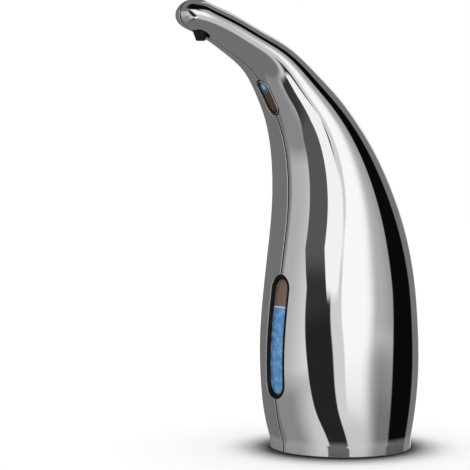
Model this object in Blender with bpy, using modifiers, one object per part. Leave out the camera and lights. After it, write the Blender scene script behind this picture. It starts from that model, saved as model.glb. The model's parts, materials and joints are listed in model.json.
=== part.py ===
"""Automatic soap dispenser with a swept, chrome-plated body.

Units are metres and +Z is up. The spout points along -Y, and the two halves of the shell meet on
the plane X = 0. The origin is the centre of the base, on the surface that it stands on.
"""

import math

import bmesh
import bpy
import numpy as np
from mathutils import Matrix, Vector

mm = 0.001

# Body
height = 220 * mm
reach = 94.9 * mm
body_depth = 81.5 * mm
body_width = 79.6 * mm
wall = 2.0 * mm
clearance = 0.3 * mm
overrun = 6 * mm
seam_gap = 0.3 * mm
shell_edge_rise = 0.6 * mm

# The body's sections, from the base to the tip of the head. Station 1 is the crease above the base.
front_y_shares = (
    0.373, 0.375, 0.415, 0.434, 0.427, 0.403, 0.372, 0.346, 0.348, 0.385,
    0.453, 0.546, 0.664, 0.790, 0.896, 0.944, 0.976, 0.994, 1.000,
)
front_z_shares = (
    0.000, 0.025, 0.091, 0.182, 0.273, 0.364, 0.455, 0.545, 0.636, 0.716,
    0.777, 0.839, 0.877, 0.907, 0.926, 0.933, 0.9405, 0.951, 0.9655,
)
section_tilts = (0, 0, 0, 0, 1, 3, 6, 10, 17, 27, 37, 47, 55, 61, 68, 72, 80, 84, 88)
depth_shares = (
    0.871, 0.874, 0.957, 1.000, 0.977, 0.918, 0.817, 0.681, 0.540, 0.417,
    0.334, 0.255, 0.212, 0.195, 0.1865, 0.1865, 0.1485, 0.085, 0.000,
)
half_width_shares = (
    0.446, 0.450, 0.470, 0.4875, 0.500, 0.494, 0.475, 0.4435, 0.393, 0.327,
    0.264, 0.220, 0.186, 0.161, 0.142, 0.128, 0.1055, 0.063, 0.000,
)
neck_end_station = 14
tip_station = 18
body_rings = 15
body_facets = 24

# Base
foot_thickness = 1.2 * mm
foot_ring_width = 4.6 * mm
foot_ring_inset = 0.6 * mm
base_floor = 2.2 * mm
cover_margin = 9.7 * mm
cover_thickness = 2.2 * mm
cover_pad_radius = 12 * mm
cover_grip_radius = 4.5 * mm
cover_grip_depth = 1.2 * mm
lug_length = 1.7 * mm
lug_height = 1.0 * mm
lug_angle = 16
lug_count = 3
lug_play_angle = 6
cover_turn = 40
seal_thickness = 1.0 * mm
seal_width = 1.5 * mm
base_screw_radius = 1.2 * mm
base_screw_head_radius = 2.3 * mm
base_screw_head_height = 1.4 * mm
base_screw_length = 9 * mm
base_boss_radius = 2.8 * mm
base_boss_height = 8 * mm
boss_rib_thickness = 1.6 * mm
boss_inset = 3.9 * mm
boss_angles = (0, 42, 138, 180)

# Batteries: four AAA cells upright
cell_radius = 5.25 * mm
cell_length = 44.5 * mm
cell_button_radius = 1.9 * mm
cell_button_height = 1.0 * mm
cell_web = 0.8 * mm
holder_wall = 1.2 * mm
holder_roof = 1.5 * mm
battery_centre_y = 8.5 * mm
contact_thickness = 0.4 * mm
contact_bump_height = 0.6 * mm
contact_bump_radius = 3 * mm
contact_bump_tip_radius = 1.2 * mm
tab_width = 3 * mm
tab_thickness = 0.6 * mm
tab_height = 1.4 * mm

# Gear pump and motor, on one axis along X
gear_module = 0.8 * mm
gear_teeth = 10
gear_pressure_angle = 28
gear_addendum_share = 0.85
gear_dedendum_share = 1.05
gear_backlash = 0.24 * mm
gear_width = 7.4 * mm
gear_tip_clearance = 0.17 * mm
flank_points = 3
shaft_radius = 1.0 * mm
pump_wall = 1.8 * mm
pump_back_wall = 3 * mm
pump_corner_radius = 2.2 * mm
pump_cover_thickness = 2.5 * mm
pump_back_x = 2.3 * mm
pump_screw_radius = 0.8 * mm
pump_screw_head_radius = 1.5 * mm
pump_screw_head_height = 1.0 * mm
pump_screw_inset = 1.75 * mm
pump_port_radius = 1.5 * mm
motor_radius = 7.75 * mm
motor_flat_height = 12 * mm
motor_length = 20 * mm
motor_cap_length = 2.4 * mm
motor_cap_radius = 5.8 * mm
motor_boss_radius = 3 * mm
motor_boss_length = 1.4 * mm
motor_axis_y = -20 * mm
cradle_shares = (0.22, 0.76)
cradle_thickness = 2.4 * mm
cradle_height = 9 * mm
cradle_width = 18 * mm

# Tank and its filler
tank_wall = 1.8 * mm
tank_bottom_z = 26 * mm
tank_top_station = 8.2
tank_rings = 8
tank_over_holder = 3 * mm
tank_behind_step = 1.0 * mm
nipple_radius = 1.7 * mm
nipple_bore_radius = 1.0 * mm
nipple_length = 2.0 * mm
sleeve_wall = 1.3 * mm
filler_station = 7.0
filler_cap_radius = 11 * mm
filler_cap_thickness = 1.8 * mm
nail_notch_radius = 5 * mm
nail_notch_reach = 1.6 * mm
nail_notch_depth = 0.9 * mm
neck_bore_radius = 9.2 * mm
neck_wall = 1.1 * mm
plug_radius = 8.5 * mm
plug_groove_radius = 7.4 * mm
plug_length = 8 * mm
plug_hollow_radius = 6 * mm
plug_ring_drop = 4.2 * mm
plug_ring_section = 1.2 * mm
filler_lift = 22 * mm

# Level window
window_station = 3.89
window_length = 61 * mm
window_width = 15.2 * mm
window_rim = 1.3 * mm
window_lens_thickness = 1.6 * mm
window_lens_recess = 0.2 * mm
gasket_flange = 1.0 * mm
gasket_flange_width = 1.8 * mm

# Hand sensor
sensor_station = 10.24
sensor_length = 19.6 * mm
sensor_width = 9.5 * mm
sensor_rim = 0.9 * mm
sensor_lens_thickness = 1.2 * mm
sensor_depth = 9.5 * mm
sensor_board_thickness = 1.2 * mm
diode_radius = 1.5 * mm
diode_length = 4.4 * mm
diode_spacing = 5.6 * mm

# Control board and power button
board_thickness = 1.6 * mm
board_half_width = 13 * mm
board_low_z = 8.5 * mm
board_length = 40 * mm
board_behind_holder = 6 * mm
rail_wall = 1.2 * mm
rail_slot_depth = 0.8 * mm
rail_low_share = 0.2
rail_high_share = 0.9
button_station = 2.9
button_radius = 4.5 * mm
button_flange_width = 1.2 * mm
button_flange = 0.9 * mm
button_stem_radius = 1.4 * mm
button_recess = 0.2 * mm
button_travel = 0.5 * mm
switch_size = 6 * mm
switch_height = 3.4 * mm
plunger_radius = 1.6 * mm
plunger_height = 1.5 * mm
chip_size = 7 * mm
chip_height = 1.2 * mm
chip_height_share = 0.32

# Hoses and leads
hose_radius = 2.8 * mm
hose_bore_radius = 1.7 * mm
barb_radius = 1.4 * mm
barb_bore_radius = 0.8 * mm
barb_length = 5 * mm
channel_clearance = 0.6 * mm
cable_radius = 1.0 * mm
lead_radius = 0.55 * mm
hose_wall_gap = 1.2 * mm
route_pitch = 13 * mm
hose_angle = 78
hose_stations = (1.9, 2.6, 4.0, 5.4, 6.8, 8.2)
hose_neck_shares = (
    (9.3, 0.45, 0.72),
    (10.3, 0.15, 0.73),
    (11.2, 0.05, 0.71),
    (12.2, 0.00, 0.60),
)
cable_angle = -112
cable_neck_shares = (
    (9.8, -0.25, 0.55),
    (9.3, -0.50, 0.62),
)
cable_stations = (8.3, 7.2, 6.0, 4.8, 3.8)
motor_lead_landing_share = 0.7
battery_lead_landing_shares = (1.4, 0.3)
motor_lead_place_shares = ((-1.85, -0.95), (-1.75, -0.16), (-1.5, 0.79), (-1.25, 1.57))

# Nozzle
nozzle_station = 14.15
nozzle_top_radius = 3.3 * mm
nozzle_tip_radius = 2.3 * mm
nozzle_drop = 3.4 * mm
nozzle_bore_radius = 0.9 * mm
nozzle_barb_length = 4 * mm
nozzle_flange_width = 1.1 * mm
nozzle_flange = 1.0 * mm

# Facets
round_facets = 24
small_facets = 10
tube_facets = 6

# Materials: colour, roughness, metallic, alpha
finishes = {
    "chrome": ((0.80, 0.80, 0.82), 0.06, 1.0, 1.0),
    "black_plastic": ((0.02, 0.02, 0.022), 0.35, 0.0, 1.0),
    "grey_plastic": ((0.22, 0.22, 0.23), 0.45, 0.0, 1.0),
    "rubber": ((0.03, 0.03, 0.03), 0.75, 0.0, 1.0),
    "clear_window": ((0.55, 0.50, 0.46), 0.08, 0.0, 0.45),
    "sensor_window": ((0.09, 0.03, 0.02), 0.08, 0.0, 0.8),
    "tank_plastic": ((0.85, 0.88, 0.90), 0.30, 0.0, 0.5),
    "hose": ((0.88, 0.88, 0.86), 0.35, 0.0, 0.6),
    "white_plastic": ((0.80, 0.80, 0.78), 0.40, 0.0, 1.0),
    "steel": ((0.58, 0.58, 0.58), 0.28, 1.0, 1.0),
    "nickel": ((0.70, 0.68, 0.62), 0.25, 1.0, 1.0),
    "circuit_board": ((0.02, 0.20, 0.08), 0.45, 0.0, 1.0),
    "chip_black": ((0.03, 0.03, 0.03), 0.55, 0.0, 1.0),
    "cell_jacket": ((0.10, 0.22, 0.45), 0.35, 0.3, 1.0),
    "blue_led": ((0.10, 0.35, 0.95), 0.15, 0.0, 0.7),
    "dark_diode": ((0.05, 0.03, 0.06), 0.15, 0.0, 0.9),
    "lead_red": ((0.60, 0.03, 0.03), 0.45, 0.0, 1.0),
    "lead_black": ((0.02, 0.02, 0.02), 0.45, 0.0, 1.0),
}


def clear_scene():
    for obj in list(bpy.data.objects):
        bpy.data.objects.remove(obj, do_unlink=True)


def new_collection(name):
    collection = bpy.data.collections.new(name)
    bpy.context.scene.collection.children.link(collection)
    return collection


clear_scene()
parts = new_collection("automatic_soap_dispenser")
cutters = new_collection("cutters")


# Objects, materials and Booleans


def material(name):
    """The Principled material of that name, made once."""
    found = bpy.data.materials.get(name)
    if found:
        return found
    colour, roughness, metallic, alpha = finishes[name]
    made = bpy.data.materials.new(name)
    made.use_nodes = True
    shader = made.node_tree.nodes["Principled BSDF"]
    shader.inputs["Base Color"].default_value = (*colour, 1.0)
    shader.inputs["Roughness"].default_value = roughness
    shader.inputs["Metallic"].default_value = metallic
    shader.inputs["Alpha"].default_value = alpha
    made.diffuse_color = (*colour, alpha)
    return made


def link(name, mesh, matrix, finish):
    """An object for the mesh: a part if it has a finish, and otherwise a hidden tool."""
    obj = bpy.data.objects.new(name, mesh)
    obj.matrix_world = matrix
    if finish:
        parts.objects.link(obj)
        obj.data.materials.append(material(finish))
    else:
        cutters.objects.link(obj)
        obj.hide_render = True
        obj.display_type = "WIRE"
    return obj


def from_bmesh(name, shape, matrix, finish):
    mesh = bpy.data.meshes.new(name)
    shape.to_mesh(mesh)
    shape.free()
    mesh.shade_smooth()
    mesh.set_sharp_from_angle(angle=math.radians(40))
    return link(name, mesh, matrix, finish)


def boolean(obj, tool, operation):
    modifier = obj.modifiers.new(tool.name, "BOOLEAN")
    modifier.operation = operation
    modifier.object = tool
    modifier.solver = "EXACT"
    return obj


def cut(obj, *tools):
    for tool in tools:
        boolean(obj, tool, "DIFFERENCE")
    return obj


def join(obj, *tools):
    for tool in tools:
        boolean(obj, tool, "UNION")
    return obj


def trim(obj, *tools):
    for tool in tools:
        boolean(obj, tool, "INTERSECT")
    return obj


# Plain shapes


def block(name, low, high, finish=None, matrix=None, radius=0.0, segments=6):
    """A box between two corners, its edges along local Z rounded by the radius."""
    low = Vector(low)
    high = Vector(high)
    shape = bmesh.new()
    bmesh.ops.create_cube(shape, size=1)
    bmesh.ops.scale(shape, vec=high - low, verts=shape.verts)
    bmesh.ops.translate(shape, vec=(low + high) / 2, verts=shape.verts)
    if radius > 0:
        upright = [
            edge for edge in shape.edges
            if (edge.verts[0].co.xy - edge.verts[1].co.xy).length < clearance / body_facets
        ]
        bmesh.ops.bevel(
            shape, geom=upright, offset=radius, segments=segments, profile=0.5,
            affect="EDGES", clamp_overlap=True,
        )
        bmesh.ops.remove_doubles(shape, verts=shape.verts, dist=clearance / 100)
    return from_bmesh(name, shape, matrix or Matrix(), finish)


def prism(name, width, length, near, far, frame, finish=None):
    """A straight-sided slot shape with round ends, between two depths along the frame's Z."""
    low = (-width / 2, -length / 2, near)
    high = (width / 2, length / 2, far)
    radius = min(width, length) / 2
    return block(name, low, high, finish, frame, radius, segments=5)


def rod(name, radius, near, far, frame, finish=None, tip_radius=None, facets=small_facets):
    """A round bar or cone between two depths along the frame's Z."""
    shape = bmesh.new()
    end = radius if tip_radius is None else tip_radius
    bmesh.ops.create_cone(
        shape, cap_ends=True, segments=facets, radius1=radius, radius2=end, depth=far - near
    )
    bmesh.ops.translate(shape, vec=(0, 0, (near + far) / 2), verts=shape.verts)
    return from_bmesh(name, shape, frame, finish)


def turned(name, profile, frame, finish=None, closed=True, steps=round_facets):
    """A profile of (radius, height) turned about the frame's Z, running down its outer side."""
    mesh = bpy.data.meshes.new(name)
    points = [(radius, 0.0, rise) for radius, rise in profile]
    edges = [(i, i + 1) for i in range(len(points) - 1)]
    if closed:
        edges.append((len(points) - 1, 0))
    mesh.from_pydata(points, edges, [])
    obj = link(name, mesh, frame, finish)
    screw = obj.modifiers.new("turn", "SCREW")
    screw.steps = steps
    screw.render_steps = steps
    screw.use_merge_vertices = True
    screw.merge_threshold = clearance / 100
    screw.use_smooth_shade = True
    return obj


def ring(name, inner, outer, low, high, frame, finish=None, steps=round_facets):
    """A flat washer."""
    return turned(
        name, [(outer, high), (outer, low), (inner, low), (inner, high)], frame, finish, True, steps
    )


def o_ring(name, middle_radius, section, rise, frame, finish):
    """A round seal, its section an octagon."""
    turn = 2 * math.pi / tube_facets
    profile = [
        (
            middle_radius + section / 2 * math.cos(-i * turn),
            rise + section / 2 * math.sin(-i * turn),
        )
        for i in range(tube_facets)
    ]
    return turned(name, profile, frame, finish)


def smooth_route(points, pitch):
    """Points about a pitch apart on one smooth curve through the route's own points."""
    knots = [Vector(point) for point in points]
    spans = [(end - start).length for start, end in zip(knots, knots[1:])]
    pace = [(end - start) / span for start, end, span in zip(knots, knots[1:], spans)]
    headings = [pace[0]]
    for i in range(1, len(spans)):
        headings.append((pace[i - 1] * spans[i] + pace[i] * spans[i - 1]) / (spans[i] + spans[i - 1]))
    headings.append(pace[-1])
    route = []
    for i, span in enumerate(spans):
        count = max(1, round(span / pitch))
        for u in np.linspace(0, 1, count, endpoint=False):
            route.append(
                knots[i] * (1 - 3 * u**2 + 2 * u**3)
                + knots[i + 1] * (3 * u**2 - 2 * u**3)
                + headings[i] * (span * (u - 2 * u**2 + u**3))
                + headings[i + 1] * (span * (u**3 - u**2))
            )
    return [*route, knots[-1]]


def tube(name, points, radius, finish=None, bore=0.0, sides=8):
    """A bent rod, or an open-ended hose if it has a bore."""
    route = smooth_route(points, route_pitch)
    curve = bpy.data.curves.new(name, "CURVE")
    curve.dimensions = "3D"
    curve.bevel_depth = radius
    curve.bevel_resolution = sides // 2 - 2
    curve.use_fill_caps = bore == 0
    spline = curve.splines.new("POLY")
    spline.points.add(len(route) - 1)
    spline.points.foreach_set("co", [value for point in route for value in (*point, 1.0)])
    guide = bpy.data.objects.new(name + "_guide", curve)
    cutters.objects.link(guide)
    bpy.context.view_layer.update()
    mesh = bpy.data.meshes.new_from_object(guide.evaluated_get(bpy.context.evaluated_depsgraph_get()))
    bpy.data.objects.remove(guide, do_unlink=True)
    shape = bmesh.new()
    shape.from_mesh(mesh)
    bmesh.ops.remove_doubles(shape, verts=shape.verts, dist=clearance / 100)
    if bore == 0:
        bmesh.ops.recalc_face_normals(shape, faces=shape.faces)
    bpy.data.meshes.remove(mesh)
    obj = from_bmesh(name, shape, Matrix(), finish)
    if bore > 0:
        hollow = obj.modifiers.new("bore", "SOLIDIFY")
        hollow.thickness = radius - bore
        hollow.offset = -1
    return obj


def frame_at(point, x_axis, y_axis):
    """A frame at the point, with its Z along x_axis cross y_axis."""
    x_axis = Vector(x_axis).normalized()
    y_axis = Vector(y_axis).normalized()
    z_axis = x_axis.cross(y_axis)
    return Matrix.Translation(point) @ Matrix((x_axis, y_axis, z_axis)).transposed().to_4x4()


# The body's form


def blend(shares, station):
    """The share at a station: straight up to the crease, then a cubic through every station."""
    if station <= 1:
        return shares[0] + (shares[1] - shares[0]) * station
    last = len(shares) - 1
    start = min(int(station), last - 1)
    u = station - start

    def slope(i):
        low = max(i - 1, 1)
        high = min(i + 1, last)
        return (shares[high] - shares[low]) / (high - low)

    rise = shares[start + 1] - shares[start]
    turn_in = slope(start)
    turn_out = slope(start + 1)
    return (
        shares[start]
        + turn_in * u
        + (3 * rise - 2 * turn_in - turn_out) * u**2
        + (turn_in + turn_out - 2 * rise) * u**3
    )


def section(station):
    """Front point, direction to the back, depth and half width of the body's section."""
    tilt = math.radians(blend(section_tilts, station))
    front = Vector((0, -reach * blend(front_y_shares, station), height * blend(front_z_shares, station)))
    backward = Vector((0, math.cos(tilt), math.sin(tilt)))
    depth = body_depth * blend(depth_shares, station)
    half_width = body_width * blend(half_width_shares, station)
    return front, backward, depth, half_width


def station_at_height(rise):
    """The station whose front point has that height."""
    low = 0.0
    high = float(neck_end_station)
    for _ in range(40):
        middle = (low + high) / 2
        if section(middle)[0].z < rise:
            low = middle
        else:
            high = middle
    return low


def inside(station, across_share, depth_share):
    """A point of the section, by shares of its half width and of its depth."""
    front, backward, depth, half_width = section(station)
    return front + backward * (depth * depth_share) + Vector((half_width * across_share, 0, 0))


def surface_frame(station, side):
    """A frame on the mid-line, Y up along the surface and Z straight out of it. Front is -1."""
    step = 1 / body_facets
    share = 0.0 if side < 0 else 1.0
    here = inside(station, 0, share)
    up = inside(station + step, 0, share) - inside(station - step, 0, share)
    return frame_at(here, (-side, 0, 0), up)


def ring_points(station, inset):
    """A section's outline, counter-clockwise from above, starting at the front."""
    front, backward, depth, half_width = section(station)
    centre = front + backward * (depth / 2)
    angles = np.linspace(0, 2 * math.pi, body_facets, endpoint=False)
    return [
        centre
        - backward * ((depth / 2 - inset) * math.cos(angle))
        + Vector(((half_width - inset) * math.sin(angle), 0, 0))
        for angle in angles
    ]


def loft(name, stations, inset, finish=None, capped=True):
    """A skin over the body's sections, each drawn in by the inset. The last one may be a point."""
    shape = bmesh.new()
    rows = []
    for station in stations:
        if section(station)[2] < clearance:
            rows.append([shape.verts.new(section(station)[0])])
        else:
            rows.append([shape.verts.new(point) for point in ring_points(station, inset)])
    for lower, upper in zip(rows, rows[1:]):
        for i in range(body_facets):
            after = (i + 1) % body_facets
            if len(upper) == 1:
                shape.faces.new((lower[i], lower[after], upper[0]))
            else:
                shape.faces.new((lower[i], lower[after], upper[after], upper[i]))
    if capped:
        shape.faces.new(reversed(rows[0]))
        if len(rows[-1]) > 1:
            shape.faces.new(rows[-1])
    return from_bmesh(name, shape, Matrix(), finish)


def stations_between(first, last, count):
    return list(np.linspace(first, last, count))


body_stations = [0.0, *stations_between(1, neck_end_station, body_rings), 15, 16, 17, tip_station]
form_stations = body_stations[:-2]
form_solids = {}


def form(inset):
    """The closed body up to the end of the neck, drawn in by the inset: a tool for curved faces."""
    key = round(inset / clearance, 3)
    if key not in form_solids:
        form_solids[key] = loft(f"form_{len(form_solids)}", form_stations, inset)
    return form_solids[key]


# Heights and places that several pieces share

cover_low_z = foot_thickness + clearance
cover_top_z = cover_low_z + cover_thickness
plate_low_z = cover_top_z + 2 * clearance + seal_thickness
plate_top_z = plate_low_z + base_floor
plate_radius = min(section(0)[2] / 2, section(0)[3]) - wall - clearance
foot_radius = plate_radius - foot_ring_inset
boss_circle_radius = plate_radius - boss_inset
cover_radius = plate_radius - cover_margin
cover_hole_radius = cover_radius + clearance
lug_radius = cover_hole_radius + lug_length - clearance
groove_radius = lug_radius + 2 * clearance
groove_low_z = cover_top_z - lug_height - clearance
groove_top_z = cover_top_z + clearance

cell_pitch = cell_radius + clearance + cell_web / 2
cell_bore_radius = cell_radius + clearance
holder_corner = cell_bore_radius + holder_wall
holder_half = cell_pitch + holder_corner
cell_low_z = cover_top_z + 2 * clearance + contact_thickness + contact_bump_height
cell_top_z = cell_low_z + cell_length
contact_top_z = cell_top_z + clearance
holder_low_z = plate_top_z + clearance
holder_ceiling_z = contact_top_z + contact_thickness + clearance
holder_top_z = holder_ceiling_z + holder_roof
holder_front_y = battery_centre_y - holder_half
holder_back_y = battery_centre_y + holder_half
cell_sides = ((-1, -1), (1, -1), (1, 1), (-1, 1))
cell_places = [
    Vector((x * cell_pitch, battery_centre_y + y * cell_pitch, 0)) for x, y in cell_sides
]

pitch_radius = gear_module * gear_teeth / 2
gear_outer_radius = pitch_radius + gear_module * gear_addendum_share
gear_root_radius = pitch_radius - gear_module * gear_dedendum_share
gear_chamber_radius = gear_outer_radius + gear_tip_clearance
pump_half_height = gear_chamber_radius + pump_wall
pump_half_length = pitch_radius + pump_half_height
pump_axis_z = plate_top_z + clearance + pump_half_height
idler_y = motor_axis_y + 2 * pitch_radius
pump_middle_y = motor_axis_y + pitch_radius
gear_low_x = pump_back_x + pump_back_wall + clearance
gear_high_x = gear_low_x + gear_width
pump_face_x = gear_high_x + clearance
cover_face_x = pump_face_x + clearance
cover_front_x = cover_face_x + pump_cover_thickness
inlet_x = (gear_low_x + gear_high_x) / 2
port_offset = gear_chamber_radius - pump_port_radius
shaft_hole_radius = shaft_radius + clearance
motor_front_x = pump_back_x - clearance
motor_rear_x = motor_front_x - motor_length
motor_cap_rear_x = motor_rear_x - clearance - motor_cap_length

tank_inset = wall + clearance + gasket_flange + clearance
tank_step_y = holder_front_y - tank_behind_step
tank_step_z = holder_top_z + tank_over_holder
board_front_y = holder_back_y + board_behind_holder
board_back_y = board_front_y + board_thickness
switch_face_y = board_back_y + clearance + switch_height

front_window = surface_frame(window_station, -1)
front_sensor = surface_frame(sensor_station, -1)
back_filler = surface_frame(filler_station, 1)
back_button = surface_frame(button_station, 1)
nozzle_centre = inside(nozzle_station, 0, 1 / 2)
neck_run = (inside(nozzle_station - 1, 0, 1 / 2) - nozzle_centre).normalized()
barb_root = (nozzle_top_radius + clearance - hose_radius * neck_run.z) / neck_run.y
upright = Matrix()
along_x = Matrix.Rotation(math.radians(90), 4, "Y")


def pump_frame(y, z):
    """A frame on an axis of the pump: its Z runs along world X."""
    return Matrix.Translation((0, y, z)) @ along_x


drive_frame = pump_frame(motor_axis_y, pump_axis_z)
idler_frame = pump_frame(idler_y, pump_axis_z)
inlet_frame = pump_frame(pump_middle_y, pump_axis_z + port_offset)
outlet_frame = pump_frame(pump_middle_y, pump_axis_z - port_offset)


# Shells


def boss_axis(angle):
    turn = math.radians(angle)
    place = (boss_circle_radius * math.cos(turn), boss_circle_radius * math.sin(turn), 0)
    return Matrix.Translation(place)


def base_boss(angle, way):
    """A screw boss with its rib out to the wall and its hole."""
    low = plate_top_z + clearance
    high = low + base_boss_height
    body = rod(f"boss_{angle}", base_boss_radius, low, high, boss_axis(angle))
    rib = block(
        f"boss_rib_{angle}",
        (0, -boss_rib_thickness / 2, low),
        (body_depth / 2, boss_rib_thickness / 2, high),
        matrix=boss_axis(angle) @ Matrix.Rotation(math.radians(angle), 4, "Z"),
    )
    join(body, rib)
    trim(body, form(wall / 2))
    return cut(body, way)


def shell_cutters():
    """Every opening of the closed body."""
    deep = wall + overrun
    return [
        prism("window_hole", window_width, window_length, -deep, overrun, front_window),
        prism("sensor_hole", sensor_width, sensor_length, -deep, overrun, front_sensor),
        rod(
            "filler_hole", filler_cap_radius + clearance, -deep, overrun, back_filler,
            facets=round_facets,
        ),
        rod(
            "button_hole", button_radius + clearance, -deep, overrun, back_button,
            facets=round_facets,
        ),
        rod(
            "nozzle_hole", nozzle_top_radius + clearance, -section(nozzle_station)[2], 0,
            Matrix.Translation(nozzle_centre), facets=round_facets,
        ),
    ]


def screw_way(angle):
    return rod(
        f"screw_way_{angle}", base_screw_radius + clearance, 0,
        cover_low_z + base_screw_head_height + base_screw_length + clearance, boss_axis(angle),
    )


def make_shells(screw_ways):
    openings = shell_cutters()
    skin = loft("body_skin", body_stations, 0, capped=False)
    for side, name in ((-1, "left_shell"), (1, "right_shell")):
        shell = link(name, skin.data.copy(), upright, "chrome")
        thickness = shell.modifiers.new("wall", "SOLIDIFY")
        thickness.thickness = wall
        thickness.offset = -1
        thickness.use_even_offset = True
        near = side * seam_gap / 2
        far = side * body_width
        half = block(
            name + "_half",
            (min(near, far), -reach - overrun, shell_edge_rise),
            (max(near, far), body_depth, height + overrun),
        )
        trim(shell, half)
        for angle in boss_angles:
            if math.cos(math.radians(angle)) * side > 0:
                join(shell, base_boss(angle, screw_ways[angle]))
        cut(shell, *openings)


# Base


def bayonet_lug(name, turn, angle, low, high, grown):
    """A short run of a ring: a lug of the battery cover, or the slot that it enters by."""
    outer = lug_radius + grown
    half = outer * math.sin(math.radians(angle / 2)) + grown
    lug = block(
        name, (cover_radius - lug_length, -half, low), (outer + lug_length, half, high),
        matrix=Matrix.Rotation(math.radians(turn), 4, "Z"),
    )
    return trim(lug, rod(name + "_round", outer, 0, plate_top_z, upright, facets=round_facets))


def lug_turns():
    return [index * 360 / lug_count - 90 for index in range(lug_count)]


def motor_flats(name, grown):
    """The slab that the motor's round can is flattened to."""
    half = motor_flat_height / 2 + grown
    return block(
        name,
        (motor_rear_x - overrun, motor_axis_y - 2 * motor_radius, pump_axis_z - half),
        (motor_front_x + overrun, motor_axis_y + 2 * motor_radius, pump_axis_z + half),
    )


def motor_cradle(index, share):
    """A rib under the motor, cut to the shape of the can."""
    x = motor_rear_x + motor_length * share
    rib = block(
        f"cradle_{index}",
        (x - cradle_thickness / 2, motor_axis_y - cradle_width / 2, plate_low_z + base_floor / 2),
        (x + cradle_thickness / 2, motor_axis_y + cradle_width / 2, plate_top_z + cradle_height),
    )
    seat = rod(
        f"cradle_seat_{index}", motor_radius + clearance, motor_rear_x - overrun,
        motor_front_x + overrun, drive_frame, facets=round_facets,
    )
    trim(seat, motor_flats(f"cradle_flats_{index}", clearance))
    return cut(rib, seat)


def make_base_plate(screw_ways):
    plate = turned(
        "base_plate",
        [
            (0, plate_top_z),
            (plate_radius, plate_top_z),
            (plate_radius, cover_low_z),
            (cover_hole_radius, cover_low_z),
            (cover_hole_radius, groove_low_z),
            (groove_radius, groove_low_z),
            (groove_radius, groove_top_z),
            (cover_hole_radius, groove_top_z),
            (cover_hole_radius, plate_low_z),
            (0, plate_low_z),
        ],
        upright, "black_plastic", closed=False,
    )
    for index, share in enumerate(cradle_shares):
        join(plate, motor_cradle(index, share))
    half = cell_pitch + cell_bore_radius
    cut(
        plate,
        block(
            "cell_opening",
            (-half, battery_centre_y - half, cover_low_z),
            (half, battery_centre_y + half, plate_top_z + clearance),
            radius=cell_radius,
        ),
    )
    for index, turn in enumerate(lug_turns()):
        angle = lug_angle + lug_play_angle
        cut(
            plate,
            bayonet_lug(f"lug_entry_{index}", turn + cover_turn, angle, 0, cover_top_z, clearance),
        )
    seat_top = cover_low_z + base_screw_head_height + clearance
    for angle in boss_angles:
        seat = rod(
            f"head_seat_{angle}", base_screw_head_radius + clearance, 0, seat_top, boss_axis(angle)
        )
        cut(plate, seat, screw_ways[angle])


def make_base_screws():
    for number, angle in enumerate(boss_angles, 1):
        head_top = cover_low_z + base_screw_head_height
        screw = rod(
            f"base_screw_{number}", base_screw_head_radius, cover_low_z, head_top, boss_axis(angle),
            "steel",
        )
        shank = rod(
            f"base_shank_{number}", base_screw_radius, cover_low_z + base_screw_head_height / 2,
            head_top + base_screw_length, boss_axis(angle),
        )
        cross = base_screw_head_radius / 4
        for turn in (0, 90):
            slot = block(
                f"base_slot_{number}_{turn}",
                (-base_screw_radius, -cross / 2, 0),
                (base_screw_radius, cross / 2, cover_low_z + base_screw_head_height / 2),
                matrix=boss_axis(angle) @ Matrix.Rotation(math.radians(turn), 4, "Z"),
            )
            cut(screw, slot)
        join(screw, shank)


def make_feet():
    ring(
        "foot_ring", foot_radius - foot_ring_width, foot_radius, 0, foot_thickness, upright, "rubber"
    )
    rod("cover_pad", cover_pad_radius, 0, foot_thickness, upright, "rubber", facets=round_facets)


def make_battery_cover():
    cover = rod(
        "battery_cover", cover_radius, cover_low_z, cover_top_z, upright, "black_plastic",
        facets=round_facets,
    )
    for index, turn in enumerate(lug_turns()):
        low = cover_top_z - lug_height
        join(cover, bayonet_lug(f"lug_{index}", turn, lug_angle, low, cover_top_z, 0))
    for side in (-1, 1):
        place = Matrix.Translation((side * (cover_radius + cover_pad_radius) / 2, 0, 0))
        grip = rod(
            f"cover_grip_{side}", cover_grip_radius, 0, cover_low_z + cover_grip_depth, place
        )
        cut(cover, grip)
    seal_low = cover_top_z + clearance
    outer = cover_radius - clearance
    ring(
        "cover_seal", outer - seal_width, outer, seal_low, seal_low + seal_thickness, upright,
        "rubber",
    )


# Batteries and their holder


def bore(name, place, radius, low, high):
    return rod(name, radius, low, high, Matrix.Translation(place), facets=round_facets)


def make_batteries():
    for number, place in enumerate(cell_places, 1):
        jacket_length = cell_length - cell_button_height
        turn = Matrix.Translation((place.x, place.y, (cell_low_z + cell_top_z) / 2))
        if number % 2 == 0:
            turn = turn @ Matrix.Rotation(math.pi, 4, "X")
        low = -cell_length / 2
        cell = rod(
            f"battery_{number}", cell_radius, low, low + jacket_length, turn, "cell_jacket",
            facets=round_facets,
        )
        button = rod(
            f"battery_button_{number}", cell_button_radius, low + jacket_length / 2,
            low + cell_length, turn,
        )
        join(cell, button)


def contact_plate(name, places, low, bumps):
    """A sheet contact at one or two cells, with or without a bump pressed up towards each."""
    half = contact_bump_radius
    xs = [place.x for place in places]
    ys = [place.y for place in places]
    plate = block(
        name, (min(xs) - half, min(ys) - half, low), (max(xs) + half, max(ys) + half,
        low + contact_thickness), "nickel", radius=half / 2, segments=2,
    )
    if bumps:
        for index, place in enumerate(places):
            bump = rod(
                f"{name}_bump_{index}", contact_bump_radius, low + contact_thickness / 2,
                low + contact_thickness + contact_bump_height, Matrix.Translation(place),
                tip_radius=contact_bump_tip_radius, facets=small_facets,
            )
            join(plate, bump)
    return plate


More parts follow.
